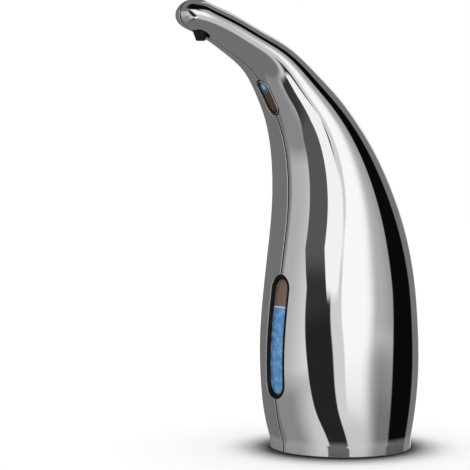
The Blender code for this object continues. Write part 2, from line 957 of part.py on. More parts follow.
def make_contacts():
    low = cover_top_z + clearance
    contact_plate("cover_contact_front", cell_places[0:2], low, True)
    contact_plate("cover_contact_rear", cell_places[2:4], low, True)
    contact_plate("top_bridge", cell_places[1:3], contact_top_z, False)
    for name, place in (("terminal_plus", cell_places[3]), ("terminal_minus", cell_places[0])):
        terminal = contact_plate(name, [place], contact_top_z, False)
        join(terminal, terminal_tab(name + "_tab", place, 0))


def terminal_tab(name, place, grown):
    """The tab that carries a lead, up through the holder's roof."""
    return block(
        name,
        (-tab_width / 2 - grown, -tab_thickness / 2 - grown, contact_top_z + contact_thickness / 2),
        (tab_width / 2 + grown, tab_thickness / 2 + grown, holder_top_z + tab_height + grown),
        matrix=Matrix.Translation(place),
    )


def make_battery_holder():
    holder = block(
        "battery_holder",
        (-holder_half, holder_front_y, holder_low_z),
        (holder_half, holder_back_y, holder_top_z),
        "grey_plastic", radius=holder_corner,
    )
    rail_low = board_low_z + board_length * rail_low_share
    rail_high = board_low_z + board_length * rail_high_share
    rail_outer = board_half_width + clearance + rail_wall
    for side in (-1, 1):
        xs = sorted((side * (board_half_width - rail_slot_depth), side * rail_outer))
        rail = block(
            f"rail_{side}",
            (xs[0], battery_centre_y, rail_low),
            (xs[1], board_back_y + clearance + rail_wall, rail_high),
        )
        slot = block(
            f"rail_slot_{side}",
            (-board_half_width - clearance, board_front_y - clearance, 0),
            (board_half_width + clearance, board_back_y + clearance, rail_high + overrun),
        )
        cut(rail, slot)
        join(holder, rail)
    half = cell_pitch + cell_radius
    recess = block(
        "contact_recess",
        (-half, battery_centre_y - half, cell_top_z - cell_button_height),
        (half, battery_centre_y + half, holder_ceiling_z),
        radius=cell_radius,
    )
    for number, place in enumerate(cell_places, 1):
        cut(holder, bore(f"cell_bore_{number}", place, cell_bore_radius, 0, cell_top_z))
    cut(holder, recess)
    for index in (0, 3):
        cut(holder, terminal_tab(f"tab_way_{index}", cell_places[index], clearance))


# Gear pump


def plate_from_outlines(name, outlines, low, high, frame, finish):
    """A flat outline with its holes, given a thickness along the frame's Z."""
    curve = bpy.data.curves.new(name, "CURVE")
    curve.dimensions = "2D"
    curve.fill_mode = "BOTH"
    curve.extrude = (high - low) / 2
    for outline in outlines:
        spline = curve.splines.new("POLY")
        spline.points.add(len(outline) - 1)
        spline.points.foreach_set("co", [value for x, y in outline for value in (x, y, 0.0, 1.0)])
        spline.use_cyclic_u = True
    guide = bpy.data.objects.new(name + "_guide", curve)
    cutters.objects.link(guide)
    bpy.context.view_layer.update()
    mesh = bpy.data.meshes.new_from_object(guide.evaluated_get(bpy.context.evaluated_depsgraph_get()))
    bpy.data.objects.remove(guide, do_unlink=True)
    shape = bmesh.new()
    shape.from_mesh(mesh)
    bmesh.ops.remove_doubles(shape, verts=shape.verts, dist=clearance / 1000)
    bmesh.ops.translate(shape, vec=(0, 0, (low + high) / 2), verts=shape.verts)
    bmesh.ops.recalc_face_normals(shape, faces=shape.faces)
    bpy.data.meshes.remove(mesh)
    return from_bmesh(name, shape, frame, finish)


def gear_outline(start_angle):
    """Involute teeth: both flanks of each tooth, from the root circle to the tip."""
    pressure = math.radians(gear_pressure_angle)
    base_radius = pitch_radius * math.cos(pressure)
    half_tooth = (math.pi * gear_module / 2 - gear_backlash) / 2 / pitch_radius
    flank = []
    for radius in np.linspace(max(base_radius, gear_root_radius), gear_outer_radius, flank_points):
        turn = math.acos(min(1.0, base_radius / radius))
        widening = math.tan(turn) - turn - (math.tan(pressure) - pressure)
        flank.append((radius, half_tooth - widening))
    flank = [(gear_root_radius, flank[0][1]), *flank]
    outline = []
    for tooth in range(gear_teeth):
        middle = start_angle + 2 * math.pi * tooth / gear_teeth
        falling = [(radius, middle - angle) for radius, angle in flank]
        rising = [(radius, middle + angle) for radius, angle in reversed(flank)]
        outline += falling + rising
    return [(radius * math.cos(angle), radius * math.sin(angle)) for radius, angle in outline]


def circle(radius, facets):
    turns = np.linspace(0, 2 * math.pi, facets, endpoint=False)
    return [(radius * math.cos(turn), radius * math.sin(turn)) for turn in turns]


def make_gears():
    hole = circle(shaft_hole_radius, small_facets)
    half_pitch = math.pi / gear_teeth
    plate_from_outlines(
        "drive_gear", [gear_outline(0), hole], gear_low_x, gear_high_x, drive_frame, "white_plastic"
    )
    plate_from_outlines(
        "idler_gear", [gear_outline(half_pitch), hole], gear_low_x, gear_high_x, idler_frame,
        "white_plastic",
    )
    pin_depth = pump_back_wall / 2
    rod(
        "idler_pin", shaft_radius, pump_back_x + pin_depth, cover_face_x + pin_depth, idler_frame,
        "steel",
    )
    rod(
        "drive_shaft", shaft_radius, motor_rear_x + clearance, cover_face_x + pin_depth, drive_frame,
        "steel",
    )


def shaft_holes(name):
    """The blind holes for the shaft and the pin, on both sides of the chamber."""
    depth = pump_back_wall / 2 - clearance
    low = pump_back_x + depth
    high = cover_face_x + pump_back_wall / 2 + clearance
    return [
        rod(name + "_pin_hole", shaft_hole_radius, low, high, idler_frame),
        rod(name + "_shaft_hole", shaft_hole_radius, motor_rear_x, high, drive_frame),
    ]


def screw_places():
    y = pump_half_length - pump_screw_inset
    z = pump_half_height - pump_screw_inset
    return [(pump_middle_y + i * y, pump_axis_z + j * z) for i, j in cell_sides]


def pump_slab(name, low_x, high_x, finish):
    """The pump's outline, a rounded rectangle, between two places along X."""
    return block(
        name,
        (-pump_half_height, -pump_half_length, low_x),
        (pump_half_height, pump_half_length, high_x),
        finish, pump_frame(pump_middle_y, pump_axis_z), pump_corner_radius, segments=3,
    )


def make_pump():
    body = pump_slab("pump_body", pump_back_x, pump_face_x, "white_plastic")
    chamber_low = gear_low_x - clearance
    inlet = Matrix.Translation((inlet_x, pump_middle_y, pump_axis_z))
    nipple_top = pump_half_height + nipple_length
    join(body, rod("inlet_nipple", nipple_radius, pump_half_height / 2, nipple_top, inlet))
    for name, frame in (("drive_chamber", drive_frame), ("idler_chamber", idler_frame)):
        chamber = rod(
            name, gear_chamber_radius, chamber_low, pump_face_x + overrun, frame, facets=round_facets
        )
        cut(body, chamber)
    for name, frame in (("inlet_port", inlet_frame), ("outlet_port", outlet_frame)):
        cut(body, rod(name, pump_port_radius, chamber_low, pump_face_x + overrun, frame))
    cut(body, rod("inlet_bore", nipple_bore_radius, 0, nipple_top + overrun, inlet))
    cut(
        body,
        rod(
            "motor_boss_seat", motor_boss_radius + clearance, motor_front_x,
            motor_front_x + motor_boss_length + 2 * clearance, drive_frame, facets=round_facets,
        ),
        *shaft_holes("body"),
    )
    cover = pump_slab("pump_cover", cover_face_x, cover_front_x, "white_plastic")
    barb_end = cover_front_x + barb_length
    join(cover, rod("outlet_barb", barb_radius, cover_face_x + clearance, barb_end, outlet_frame))
    outlet_bore = rod("outlet_bore", barb_bore_radius, 0, barb_end + overrun, outlet_frame)
    cut(cover, outlet_bore, *shaft_holes("cover"))
    for number, (y, z) in enumerate(screw_places(), 1):
        axis = pump_frame(y, z)
        seat = cover_front_x - pump_screw_head_height
        way = rod(
            f"pump_screw_way_{number}", pump_screw_radius + clearance,
            pump_back_x + pump_back_wall, cover_front_x + overrun, axis,
        )
        counterbore = rod(
            f"pump_screw_seat_{number}", pump_screw_head_radius + clearance / 2, seat - clearance,
            cover_front_x + overrun, axis,
        )
        cut(cover, way, counterbore)
        cut(body, way)
        screw = rod(
            f"pump_screw_{number}", pump_screw_head_radius, seat, cover_front_x, axis, "steel"
        )
        shank = rod(
            f"pump_shank_{number}", pump_screw_radius, pump_back_x + pump_back_wall + clearance,
            seat + pump_screw_head_height / 2, axis,
        )
        join(screw, shank)


def make_motor():
    can = rod(
        "motor_can", motor_radius, motor_rear_x, motor_front_x, drive_frame, "steel",
        facets=round_facets,
    )
    trim(can, motor_flats("can_flats", 0))
    boss = rod(
        "motor_boss", motor_boss_radius, motor_front_x - motor_boss_length,
        motor_front_x + motor_boss_length, drive_frame, facets=round_facets,
    )
    join(can, boss)
    cut(
        can,
        rod(
            "rotor_way", shaft_hole_radius, motor_rear_x - overrun, motor_front_x + overrun,
            drive_frame,
        ),
    )
    rod(
        "motor_cap", motor_cap_radius, motor_cap_rear_x, motor_rear_x - clearance, drive_frame,
        "black_plastic", facets=round_facets,
    )


# Hoses and leads


def beside_wall(station, angle, inset):
    """A point under the wall, at an angle from the front round to +X."""
    front, backward, depth, half_width = section(station)
    turn = math.radians(angle)
    centre = front + backward * (depth / 2)
    across = Vector(((half_width - inset) * math.sin(turn), 0, 0))
    return centre - backward * ((depth / 2 - inset) * math.cos(turn)) + across


def hose_route():
    """From the pump's outlet, up beside the tank, through the neck to the nozzle."""
    outlet = Vector((cover_front_x + clearance, pump_middle_y, pump_axis_z - port_offset))
    inset = wall + hose_radius + hose_wall_gap
    step = Vector((barb_length / 2, 0, 0))
    route = [outlet, outlet + step, outlet + 2 * step]
    route += [beside_wall(station, hose_angle, inset) for station in hose_stations]
    route += [inside(*shares) for shares in hose_neck_shares]
    end = nozzle_centre + neck_run * barb_root
    return [*route, end + neck_run * nozzle_barb_length, end + neck_run * nozzle_barb_length / 2, end]


def cable_route():
    """From the sensor board, down beside the tank to the head of the control board."""
    inset = wall + cable_radius + hose_wall_gap
    route = [inside(*shares) for shares in cable_neck_shares]
    route += [beside_wall(station, cable_angle, inset) for station in cable_stations]
    top = Vector((-board_half_width / 2, board_front_y, board_low_z + board_length))
    rise = Vector((0, 0, cable_radius + clearance))
    return [*route, top + 4 * rise + Vector((-2 * cable_radius, 0, 0)), top + rise]


def make_hoses():
    tube("delivery_hose", hose_route(), hose_radius, "hose", hose_bore_radius)
    tube("sensor_cable", cable_route(), cable_radius, "lead_black")
    low = pump_axis_z + pump_half_height + clearance
    inner = nipple_radius + clearance
    axis = Matrix.Translation((inlet_x, pump_middle_y, 0))
    ring(
        "suction_sleeve", inner, inner + sleeve_wall, low, tank_bottom_z - clearance, axis, "hose",
        small_facets,
    )


def make_leads():
    off = lead_radius + clearance
    rise = holder_top_z + tab_height
    leads = (("battery_lead_red", 3, "lead_red"), ("battery_lead_black", 0, "lead_black"))
    for (name, index, finish), landing_share in zip(leads, battery_lead_landing_shares):
        place = cell_places[index]
        start = Vector((place.x, place.y + tab_thickness / 2 + off, rise))
        over = Vector((place.x * landing_share, holder_back_y, rise))
        down = Vector((over.x, (holder_back_y + board_front_y) / 2, holder_top_z - tab_height))
        end = Vector((over.x, board_front_y - off, board_low_z + board_length * rail_high_share))
        tube(name, [start, (start + over) / 2, over, down, end], lead_radius, finish)
    low = plate_top_z + 4 * lead_radius
    for name, side, finish in (
        ("motor_lead_red", 1, "lead_red"),
        ("motor_lead_black", -1, "lead_black"),
    ):
        spread = 2 * lead_radius * side
        start = Vector((motor_cap_rear_x - clearance, motor_axis_y + 2 * spread, pump_axis_z))
        route = [start, start - Vector((4 * lead_radius, 0, 0))]
        for x_share, y_share in motor_lead_place_shares:
            route.append(Vector((holder_half * x_share, holder_half * y_share, low + spread)))
        landing_x = -board_half_width * motor_lead_landing_share
        route.append(Vector((landing_x, board_front_y - off, low + spread)))
        tube(name, route, lead_radius, finish)


# Tank, filler and level window


def make_tank():
    low_station = station_at_height(tank_bottom_z)
    floor_station = station_at_height(tank_bottom_z + tank_wall)
    run = inside(tank_top_station, 0, 1 / 2) - inside(tank_top_station - 1, 0, 1 / 2)
    roof_station = tank_top_station - tank_wall / run.length
    tank = loft(
        "soap_tank", stations_between(low_station, tank_top_station, tank_rings), tank_inset,
        "tank_plastic",
    )
    cavity = loft(
        "tank_cavity", stations_between(floor_station, roof_station, tank_rings),
        tank_inset + tank_wall,
    )
    for tool, grown in ((tank, 0), (cavity, tank_wall)):
        step = block(
            f"step_{tool.name}",
            (-body_width, tank_step_y - grown, 0),
            (body_width, body_depth, tank_step_z + grown),
        )
        room = channel_clearance + grown
        hose = tube(f"hose_channel_{tool.name}", hose_route(), hose_radius + room, sides=6)
        cable = tube(f"cable_channel_{tool.name}", cable_route(), cable_radius + room, sides=6)
        cut(tool, step, hose, cable)
    deep = tank_inset + tank_wall
    neck = rod(
        "filler_neck", neck_bore_radius + neck_wall, -deep, overrun, back_filler, facets=round_facets
    )
    trim(neck, form(filler_cap_thickness + clearance))
    outlet = Matrix.Translation((inlet_x, pump_middle_y, tank_bottom_z))
    nipple = rod("tank_nipple", nipple_radius, -nipple_length, tank_wall / 2, outlet)
    join(tank, neck, nipple)
    cut(
        tank,
        cavity,
        rod(
            "neck_bore", neck_bore_radius, -deep - tank_wall, overrun, back_filler,
            facets=round_facets,
        ),
        rod("tank_outlet", nipple_bore_radius, -nipple_length - overrun, overrun, outlet),
    )


def make_filler_cap():
    cap = rod(
        "filler_cap", filler_cap_radius, -filler_cap_thickness - overrun, overrun, back_filler,
        "chrome", facets=round_facets,
    )
    trim(cap, form(0))
    notch_drop = filler_cap_radius + nail_notch_radius - nail_notch_reach
    notch = rod(
        "nail_notch", nail_notch_radius, -filler_cap_thickness - overrun, 2 * overrun,
        back_filler @ Matrix.Translation((0, -notch_drop, 0)), facets=round_facets,
    )
    cut(notch, form(nail_notch_depth))
    cut(cap, form(filler_cap_thickness), notch)
    groove_half = plug_ring_section / 2 + clearance
    plug = turned(
        "filler_plug",
        [
            (0, 0),
            (plug_radius, 0),
            (plug_radius, -plug_ring_drop + groove_half),
            (plug_groove_radius, -plug_ring_drop + groove_half),
            (plug_groove_radius, -plug_ring_drop - groove_half),
            (plug_radius, -plug_ring_drop - groove_half),
            (plug_radius, -plug_length),
            (plug_hollow_radius, -plug_length),
            (plug_hollow_radius, -plug_ring_drop),
            (0, -plug_ring_drop),
        ],
        back_filler, closed=False,
    )
    trim(plug, form(filler_cap_thickness / 2))
    join(cap, plug)
    middle = (plug_groove_radius + neck_bore_radius) / 2
    o_ring("filler_seal", middle, plug_ring_section, -plug_ring_drop, back_filler, "rubber")


def make_level_window():
    inner = wall + clearance + gasket_flange
    gasket = prism(
        "window_gasket", window_width - 2 * clearance, window_length - 2 * clearance,
        -inner - overrun, overrun, front_window, "rubber",
    )
    trim(gasket, form(0))
    flange = prism(
        "gasket_flange", window_width + 2 * gasket_flange_width,
        window_length + 2 * gasket_flange_width, -inner - overrun, overrun, front_window,
    )
    trim(flange, form(wall + clearance))
    join(gasket, flange)
    cut(gasket, form(inner))
    seat_width = window_width - 2 * window_rim
    seat_length = window_length - 2 * window_rim
    cut(
        gasket,
        prism("lens_seat", seat_width, seat_length, -inner - 2 * overrun, 2 * overrun, front_window),
    )
    lens = prism(
        "level_window", seat_width - 2 * clearance, seat_length - 2 * clearance, -inner - overrun,
        overrun, front_window, "clear_window",
    )
    trim(lens, form(window_lens_recess))
    cut(lens, form(window_lens_recess + window_lens_thickness))


# Hand sensor


def make_sensor():
    bezel = prism(
        "sensor_bezel", sensor_width - 2 * clearance, sensor_length - 2 * clearance, -sensor_depth,
        overrun, front_sensor, "black_plastic",
    )
    trim(bezel, form(0))
    flange = prism(
        "sensor_flange", sensor_width + 2 * gasket_flange_width,
        sensor_length + 2 * gasket_flange_width, -wall - clearance - 2 * gasket_flange, overrun,
        front_sensor,
    )
    trim(flange, form(wall + clearance))
    join(bezel, flange)
    seat_width = sensor_width - 2 * sensor_rim
    seat_length = sensor_length - 2 * sensor_rim
    cut(
        bezel,
        prism("sensor_seat", seat_width, seat_length, -sensor_depth - overrun, overrun, front_sensor),
    )
    lens = prism(
        "sensor_window", seat_width - 2 * clearance, seat_length - 2 * clearance, -sensor_depth,
        overrun, front_sensor, "sensor_window",
    )
    trim(lens, form(window_lens_recess))
    cut(lens, form(window_lens_recess + sensor_lens_thickness))
    board_face = -sensor_depth - clearance
    block(
        "sensor_board",
        (-sensor_width / 2, -sensor_length / 2 + sensor_rim, board_face - sensor_board_thickness),
        (sensor_width / 2, sensor_length / 2 - sensor_rim, board_face),
        "circuit_board", front_sensor, radius=sensor_rim, segments=3,
    )
    for name, place, finish in (
        ("ir_receiver", -1, "dark_diode"),
        ("ir_emitter", 0, "dark_diode"),
        ("status_led", 1, "blue_led"),
    ):
        axis = front_sensor @ Matrix.Translation((0, place * diode_spacing, 0))
        low = board_face + clearance
        diode = rod(name, diode_radius, low, low + diode_length, axis, finish)
        rim = rod(name + "_rim", diode_radius + clearance, low, low + 2 * clearance, axis)
        join(diode, rim)


# Control board and power button


def make_control_board():
    block(
        "control_board",
        (-board_half_width, board_front_y, board_low_z),
        (board_half_width, board_back_y, board_low_z + board_length),
        "circuit_board",
    )
    button_z = back_button.translation.z
    to_back = frame_at((0, board_back_y, button_z), (-1, 0, 0), (0, 0, 1))
    switch = block(
        "tact_switch",
        (-switch_size / 2, -switch_size / 2, clearance),
        (switch_size / 2, switch_size / 2, clearance + switch_height),
        "chip_black", to_back,
    )
    top = clearance + switch_height
    well = plunger_height / 2 + button_travel + clearance
    cut(switch, rod("plunger_well", plunger_radius + clearance, top - well, top + overrun, to_back))
    rod(
        "switch_plunger", plunger_radius, top - plunger_height / 2, top + plunger_height / 2,
        to_back, "black_plastic",
    )
    chip_z = board_low_z + board_length * chip_height_share
    block(
        "control_chip",
        (-chip_size / 2, board_back_y + clearance, chip_z - chip_size / 2),
        (chip_size / 2, board_back_y + clearance + chip_height, chip_z + chip_size / 2),
        "chip_black",
    )


def make_power_button():
    inner = wall + clearance + button_flange
    button = rod(
        "power_button", button_radius, -inner, overrun, back_button, "black_plastic",
        facets=round_facets,
    )
    trim(button, form(button_recess))
    flange = rod(
        "button_flange", button_radius + button_flange_width, -inner, overrun, back_button,
        facets=round_facets,
    )
    trim(flange, form(wall + clearance))
    reach_in = back_button.translation.y - (switch_face_y + plunger_height / 2 + clearance)
    stem = rod("button_stem", button_stem_radius, -reach_in, -inner + clearance, back_button)
    join(button, flange, stem)


# Nozzle


def make_nozzle():
    frame = Matrix.Translation(nozzle_centre)
    depth = section(nozzle_station)[2] / 2
    nozzle = rod(
        "nozzle", nozzle_tip_radius, -depth - nozzle_drop, -depth + wall, frame, "black_plastic",
        tip_radius=nozzle_top_radius, facets=round_facets,
    )
    stem = rod(
        "nozzle_stem", nozzle_top_radius, -depth + wall / 2, nozzle_top_radius, frame,
        facets=round_facets,
    )
    flange = rod(
        "nozzle_flange", nozzle_top_radius + nozzle_flange_width,
        -wall - clearance - nozzle_flange, overrun, surface_frame(nozzle_station, -1),
        facets=round_facets,
    )
    trim(flange, form(wall + clearance))
    side = Vector((1, 0, 0))
    barb_frame = frame_at(nozzle_centre, side, neck_run.cross(side))
    barb_end = barb_root + nozzle_barb_length
    barb = rod("nozzle_barb", barb_radius, 0, barb_end, barb_frame)
    join(nozzle, stem, flange, barb)
    cut(
        nozzle,
        rod("nozzle_bore", nozzle_bore_radius, -depth - overrun - nozzle_drop, 0, frame),
        rod("barb_bore", barb_bore_radius, -barb_bore_radius, barb_end + overrun, barb_frame),
    )


ways = {angle: screw_way(angle) for angle in boss_angles}
make_shells(ways)
make_base_plate(ways)
make_base_screws()
make_feet()
make_battery_cover()
make_batteries()
make_contacts()
make_battery_holder()
make_gears()
make_pump()
make_motor()
make_hoses()
make_leads()
make_tank()
make_filler_cap()
make_level_window()
make_sensor()
make_control_board()
make_power_button()
make_nozzle()
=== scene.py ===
import json
import math

import bmesh
import bpy
import numpy as np
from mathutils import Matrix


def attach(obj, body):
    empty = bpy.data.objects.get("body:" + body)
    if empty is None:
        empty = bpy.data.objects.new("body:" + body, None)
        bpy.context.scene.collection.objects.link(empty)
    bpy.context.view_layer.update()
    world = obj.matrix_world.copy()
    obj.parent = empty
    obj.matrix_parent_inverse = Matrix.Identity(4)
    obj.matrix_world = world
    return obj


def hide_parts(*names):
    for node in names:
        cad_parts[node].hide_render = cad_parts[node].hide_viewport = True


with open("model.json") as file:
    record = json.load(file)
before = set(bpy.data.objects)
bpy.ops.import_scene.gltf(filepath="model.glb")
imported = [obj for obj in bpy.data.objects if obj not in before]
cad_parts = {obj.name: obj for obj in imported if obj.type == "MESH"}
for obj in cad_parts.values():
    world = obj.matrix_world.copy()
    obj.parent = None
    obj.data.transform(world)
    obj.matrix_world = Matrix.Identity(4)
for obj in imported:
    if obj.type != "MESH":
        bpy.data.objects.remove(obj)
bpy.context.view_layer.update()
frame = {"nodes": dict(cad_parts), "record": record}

mm = 0.001

# Body: sections from the base to the tip of the head. Station 1 is the crease above the base. Reach
# and depth are a hair less than the solid's, whose faces are flat between its sections. Tilts and the
# foot's lean are in degrees.
height = 220 * mm
reach = 94.85 * mm
body_depth = 81.3 * mm
body_width = 79.6 * mm
skin_inset = 0.15 * mm
crease_height = 5.5 * mm
foot_lean = 9
foot_lean_fade = 0.8 * mm
front_y_shares = (
    0.373, 0.375, 0.415, 0.434, 0.427, 0.403, 0.372, 0.346, 0.348, 0.385,
    0.453, 0.546, 0.664, 0.790, 0.896, 0.944, 0.976, 0.994, 1.000,
)
front_z_shares = (
    0.000, 0.025, 0.091, 0.182, 0.273, 0.364, 0.455, 0.545, 0.636, 0.716,
    0.777, 0.839, 0.877, 0.907, 0.926, 0.933, 0.9405, 0.951, 0.9655,
)
section_tilts = (0, 0, 0, 0, 1, 3, 6, 10, 17, 27, 37, 47, 55, 61, 68, 72, 80, 84, 88)
depth_shares = (
    0.871, 0.874, 0.957, 1.000, 0.977, 0.918, 0.817, 0.681, 0.540, 0.417,
    0.334, 0.255, 0.212, 0.195, 0.1865, 0.1865, 0.1485, 0.085, 0.000,
)
half_width_shares = (
    0.446, 0.450, 0.470, 0.4875, 0.500, 0.494, 0.475, 0.4435, 0.393, 0.327,
    0.264, 0.220, 0.186, 0.161, 0.142, 0.128, 0.1055, 0.063, 0.000,
)
tip_station = 18
wall = 2.0 * mm
seam_groove = 0.95 * mm
seam_edge_radius = 0.25 * mm
seam_lap_left = 1.1 * mm
seam_lap_right = 0.6 * mm
seam_lap_fade = 3 * mm
shell_edge_rise = 0.6 * mm
shell_edge_radius = 0.25 * mm
clearance = 0.3 * mm
edge_radius = 0.35 * mm

# Rims and lenses of the level window and the hand sensor
rim_drop = 0.1 * mm
rim_radius = 0.3 * mm
lens_shoulder = 0.2 * mm
lens_gap = clearance / 3

# Level window
window_station = 3.89
window_length = 61 * mm
window_width = 15.2 * mm
window_half = (window_length - window_width) / 2
window_radius = window_width / 2
window_rim_flat = 1.15 * mm
window_rim_width = 1.9 * mm
window_rim_depth = 4.0 * mm
window_lens_drop = 1.6 * mm
window_lens_thickness = 1.1 * mm
sight_thickness = 0.6 * mm

# Hand sensor, the trim round its lens and the light behind it
sensor_station = 10.24
sensor_length = 19.6 * mm
sensor_width = 9.5 * mm
sensor_half = (sensor_length - sensor_width) / 2
sensor_radius = sensor_width / 2
sensor_rim_crest = 1.15 * mm
sensor_rim_width = 1.75 * mm
sensor_rim_depth = 4.0 * mm
sensor_lens_drop = 0.65 * mm
sensor_lens_thickness = 1.2 * mm
trim_outer = 0.7 * mm
trim_inner = 1.05 * mm
trim_foot = 0.45 * mm
diode_spacing = 5.6 * mm
led_glow_inner = 0.2 * mm
led_glow_outer = 4.6 * mm
led_core_share = 0.7
led_core = (0.10, 0.40, 0.62)
led_halo = (0.008, 0.12, 0.24)

# Nozzle
nozzle_station = 14.15
nozzle_top_radius = 4.1 * mm
nozzle_tip_radius = 2.3 * mm
nozzle_bore_radius = 0.9 * mm
nozzle_drop = 3.4 * mm
nozzle_lip = 0.4 * mm
nozzle_flange_width = 1.1 * mm
nozzle_flange = 1.0 * mm

# Filler cap and its plug
filler_station = 7.0
filler_cap_radius = 11 * mm
filler_cap_thickness = 1.8 * mm
nail_notch_radius = 5 * mm
nail_notch_reach = 1.6 * mm
nail_notch_depth = 0.9 * mm
nail_notch_soft = 0.35 * mm
plug_top = 1.4 * mm
plug_radius = 8.5 * mm
plug_groove_radius = 7.4 * mm
plug_length = 8 * mm
plug_hollow_radius = 6 * mm
plug_ring_drop = 4.2 * mm
plug_groove_half = 0.9 * mm

# Power button
button_station = 2.9
button_radius = 4.5 * mm
button_recess = 0.2 * mm
button_flange_width = 1.2 * mm
button_flange = 0.9 * mm
button_stem_radius = 1.4 * mm
button_stem_length = 7 * mm

# Soap seen through the window
soap_level = 72.6 * mm
soap_line = 0.8 * mm
soap_level_soft = soap_line / 4
soap_line_soft = soap_line / 3
soap_cloud = 420
soap_cloud_detail = 5.0
soap_stops = (0.34, 0.5, 0.68)
soap_tones = ((0.07, 0.32, 0.60), (0.17, 0.45, 0.80), (0.40, 0.62, 0.92))
soap_bright = (0.72, 0.84, 0.95)

# Grids, and the turns at which rounded edges have their points
row_count = 300
column_count = 90
foot_row_count = 8
tip_row_count = 16
last_even_station = 17
arc_points = 40
straight_points = 36
round_points = 192
crest_points = 5
face_rings = 9
lid_rings = 34
ring_crowding = 1.5
merge_distance = 0.002 * mm
sharp_angle = 40
roll_shares = np.array([1.0, 0.72, 0.45, 0.22, 0.06, 0.0])
edge_turns = np.radians([0, 30, 60, 90])
trim_turns = np.radians([0, 20, 40, 60, 75, 90])
lip_turns = np.radians([0, 25, 50, 75, 90])

# Small changes of station or angle that give a slope, and other limits of the arithmetic
normal_nudge = 1e-3
frame_nudge = 1 / 24
search_nudge = 1e-4
search_rounds = 12
least_length = 1e-12
least_value = 1e-9
far_off = 1.0

# The two sides of the body's mid-line, as signs of Y
front_side = -1
back_side = 1

# Degrees
camera_azimuth = 52.5
quarter_turn = 90
half_turn = 180


# Curves through the sections


def knot_slopes(values):
    """Slopes at stations 1, 2, 3 ... of the cubic whose second derivative is continuous.

    The lower end is free. The upper end is free too, except where the last value is a maximum.
    """
    knots = np.array(values[1:], float)
    count = len(knots)
    beside = np.ones(count - 1)
    system = np.diag(np.full(count, 4.0)) + np.diag(beside, 1) + np.diag(beside, -1)
    right = np.zeros(count)
    right[1:-1] = 3 * (knots[2:] - knots[:-2])
    system[0, 0] = 2
    right[0] = 3 * (knots[1] - knots[0])
    if knots[-1] == 1:
        system[-1] = 0
        system[-1, -1] = 1
    else:
        system[-1, -1] = 2
        right[-1] = 3 * (knots[-1] - knots[-2])
    return np.linalg.solve(system, right)


def share_at(values, station):
    """The share at each station: a straight line up to station 1, then the cubic through every station."""
    table = np.array(values, float)
    slopes = share_slopes[values]
    start = np.clip(station.astype(int), 1, tip_station - 1)
    u = station - start
    rise = table[start + 1] - table[start]
    turn_in = slopes[start - 1]
    turn_out = slopes[start]
    cubic = table[start] + turn_in * u + (3 * rise - 2 * turn_in - turn_out) * u**2
    cubic += (turn_in + turn_out - 2 * rise) * u**3
    straight = table[0] + (table[1] - table[0]) * station
    return np.where(station < 1, straight, cubic)


share_slopes = {
    values: knot_slopes(values)
    for values in (front_y_shares, front_z_shares, section_tilts, depth_shares, half_width_shares)
}


def drawn_in(half):
    """A half size less the inset, which fades out where the body comes to its tip."""
    return half - skin_inset * half / (half + skin_inset)


def body_point(station, angle):
    """Points of the body: centre - backward * half depth * cos + across * half width * sin."""
    station, angle = np.broadcast_arrays(np.asarray(station, float), np.asarray(angle, float))
    tilt = np.radians(share_at(section_tilts, station))
    backward = np.stack([np.zeros_like(tilt), np.cos(tilt), np.sin(tilt)], -1)
    front_y = -reach * share_at(front_y_shares, station)
    front_z = height * share_at(front_z_shares, station)
    front = np.stack([np.zeros_like(tilt), front_y, front_z], -1)
    half_depth = body_depth / 2 * share_at(depth_shares, station)
    half_width = body_width * share_at(half_width_shares, station)
    along = half_depth - drawn_in(half_depth) * np.cos(angle)
    across = drawn_in(half_width) * np.sin(angle)
    point = front + backward * along[..., None]
    point[..., 0] += across
    return point


def unit(vectors):
    """The vectors at length 1."""
    return vectors / np.maximum(np.linalg.norm(vectors, axis=-1, keepdims=True), least_length)


def body_normal(station, angle):
    """Outward normals: the change round the section crossed with the change along the body."""
    station = np.minimum(np.asarray(station, float), tip_station - 2 * normal_nudge)
    angle = np.asarray(angle, float)
    lower = np.maximum(station - normal_nudge, 0)
    round_it = body_point(station, angle + normal_nudge) - body_point(station, angle - normal_nudge)
    along_it = body_point(station + normal_nudge, angle) - body_point(lower, angle)
    return unit(np.cross(round_it, along_it))


class Place:
    """A frame on the body's mid-line: X across, Y up along the surface, Z straight out of it.

    An opening at the place reaches in to a depth behind the surface, and no further.
    """

    def __init__(self, station, side):
        self.station = station
        self.angle = 0.0 if side == front_side else math.pi
        self.origin = body_point(station, self.angle)
        above = body_point(station + frame_nudge, self.angle)
        up = unit(above - body_point(station - frame_nudge, self.angle))
        across = np.array([-side, 0.0, 0.0])
        self.axes = np.array([across, up, np.cross(across, up)])
        self.pace = np.linalg.norm(body_point(station + 1, self.angle) - self.origin)
        self.reach_in = body_depth / 4

    def local(self, points):
        """The points in this frame."""
        return (points - self.origin) @ self.axes.T

    def on_body(self, x, y):
        """Station and angle where a line along Z through (x, y) meets the body, by Newton's steps."""
        station = self.station + y / self.pace
        half_width = body_width * share_at(half_width_shares, np.full_like(x, self.station))
        angle = self.angle + x / half_width
        for _ in range(search_rounds):
            here = self.local(body_point(station, angle))
            by_station = (self.local(body_point(station + search_nudge, angle)) - here) / search_nudge
            by_angle = (self.local(body_point(station, angle + search_nudge)) - here) / search_nudge
            miss_x = x - here[..., 0]
            miss_y = y - here[..., 1]
            size = by_station[..., 0] * by_angle[..., 1] - by_station[..., 1] * by_angle[..., 0]
            station = station + (miss_x * by_angle[..., 1] - miss_y * by_angle[..., 0]) / size
            angle = angle + (miss_y * by_station[..., 0] - miss_x * by_station[..., 1]) / size
        return station, angle


class Upright(Place):
    """A frame at the nozzle: its Z points down, whatever the skin's slope."""

    def __init__(self, station):
        super().__init__(station, front_side)
        self.origin = (body_point(station, 0.0) + body_point(station, math.pi)) / 2
        self.axes = np.array([[1.0, 0, 0], [0, -1.0, 0], [0, 0, -1.0]])
        self.reach_in = 0.0


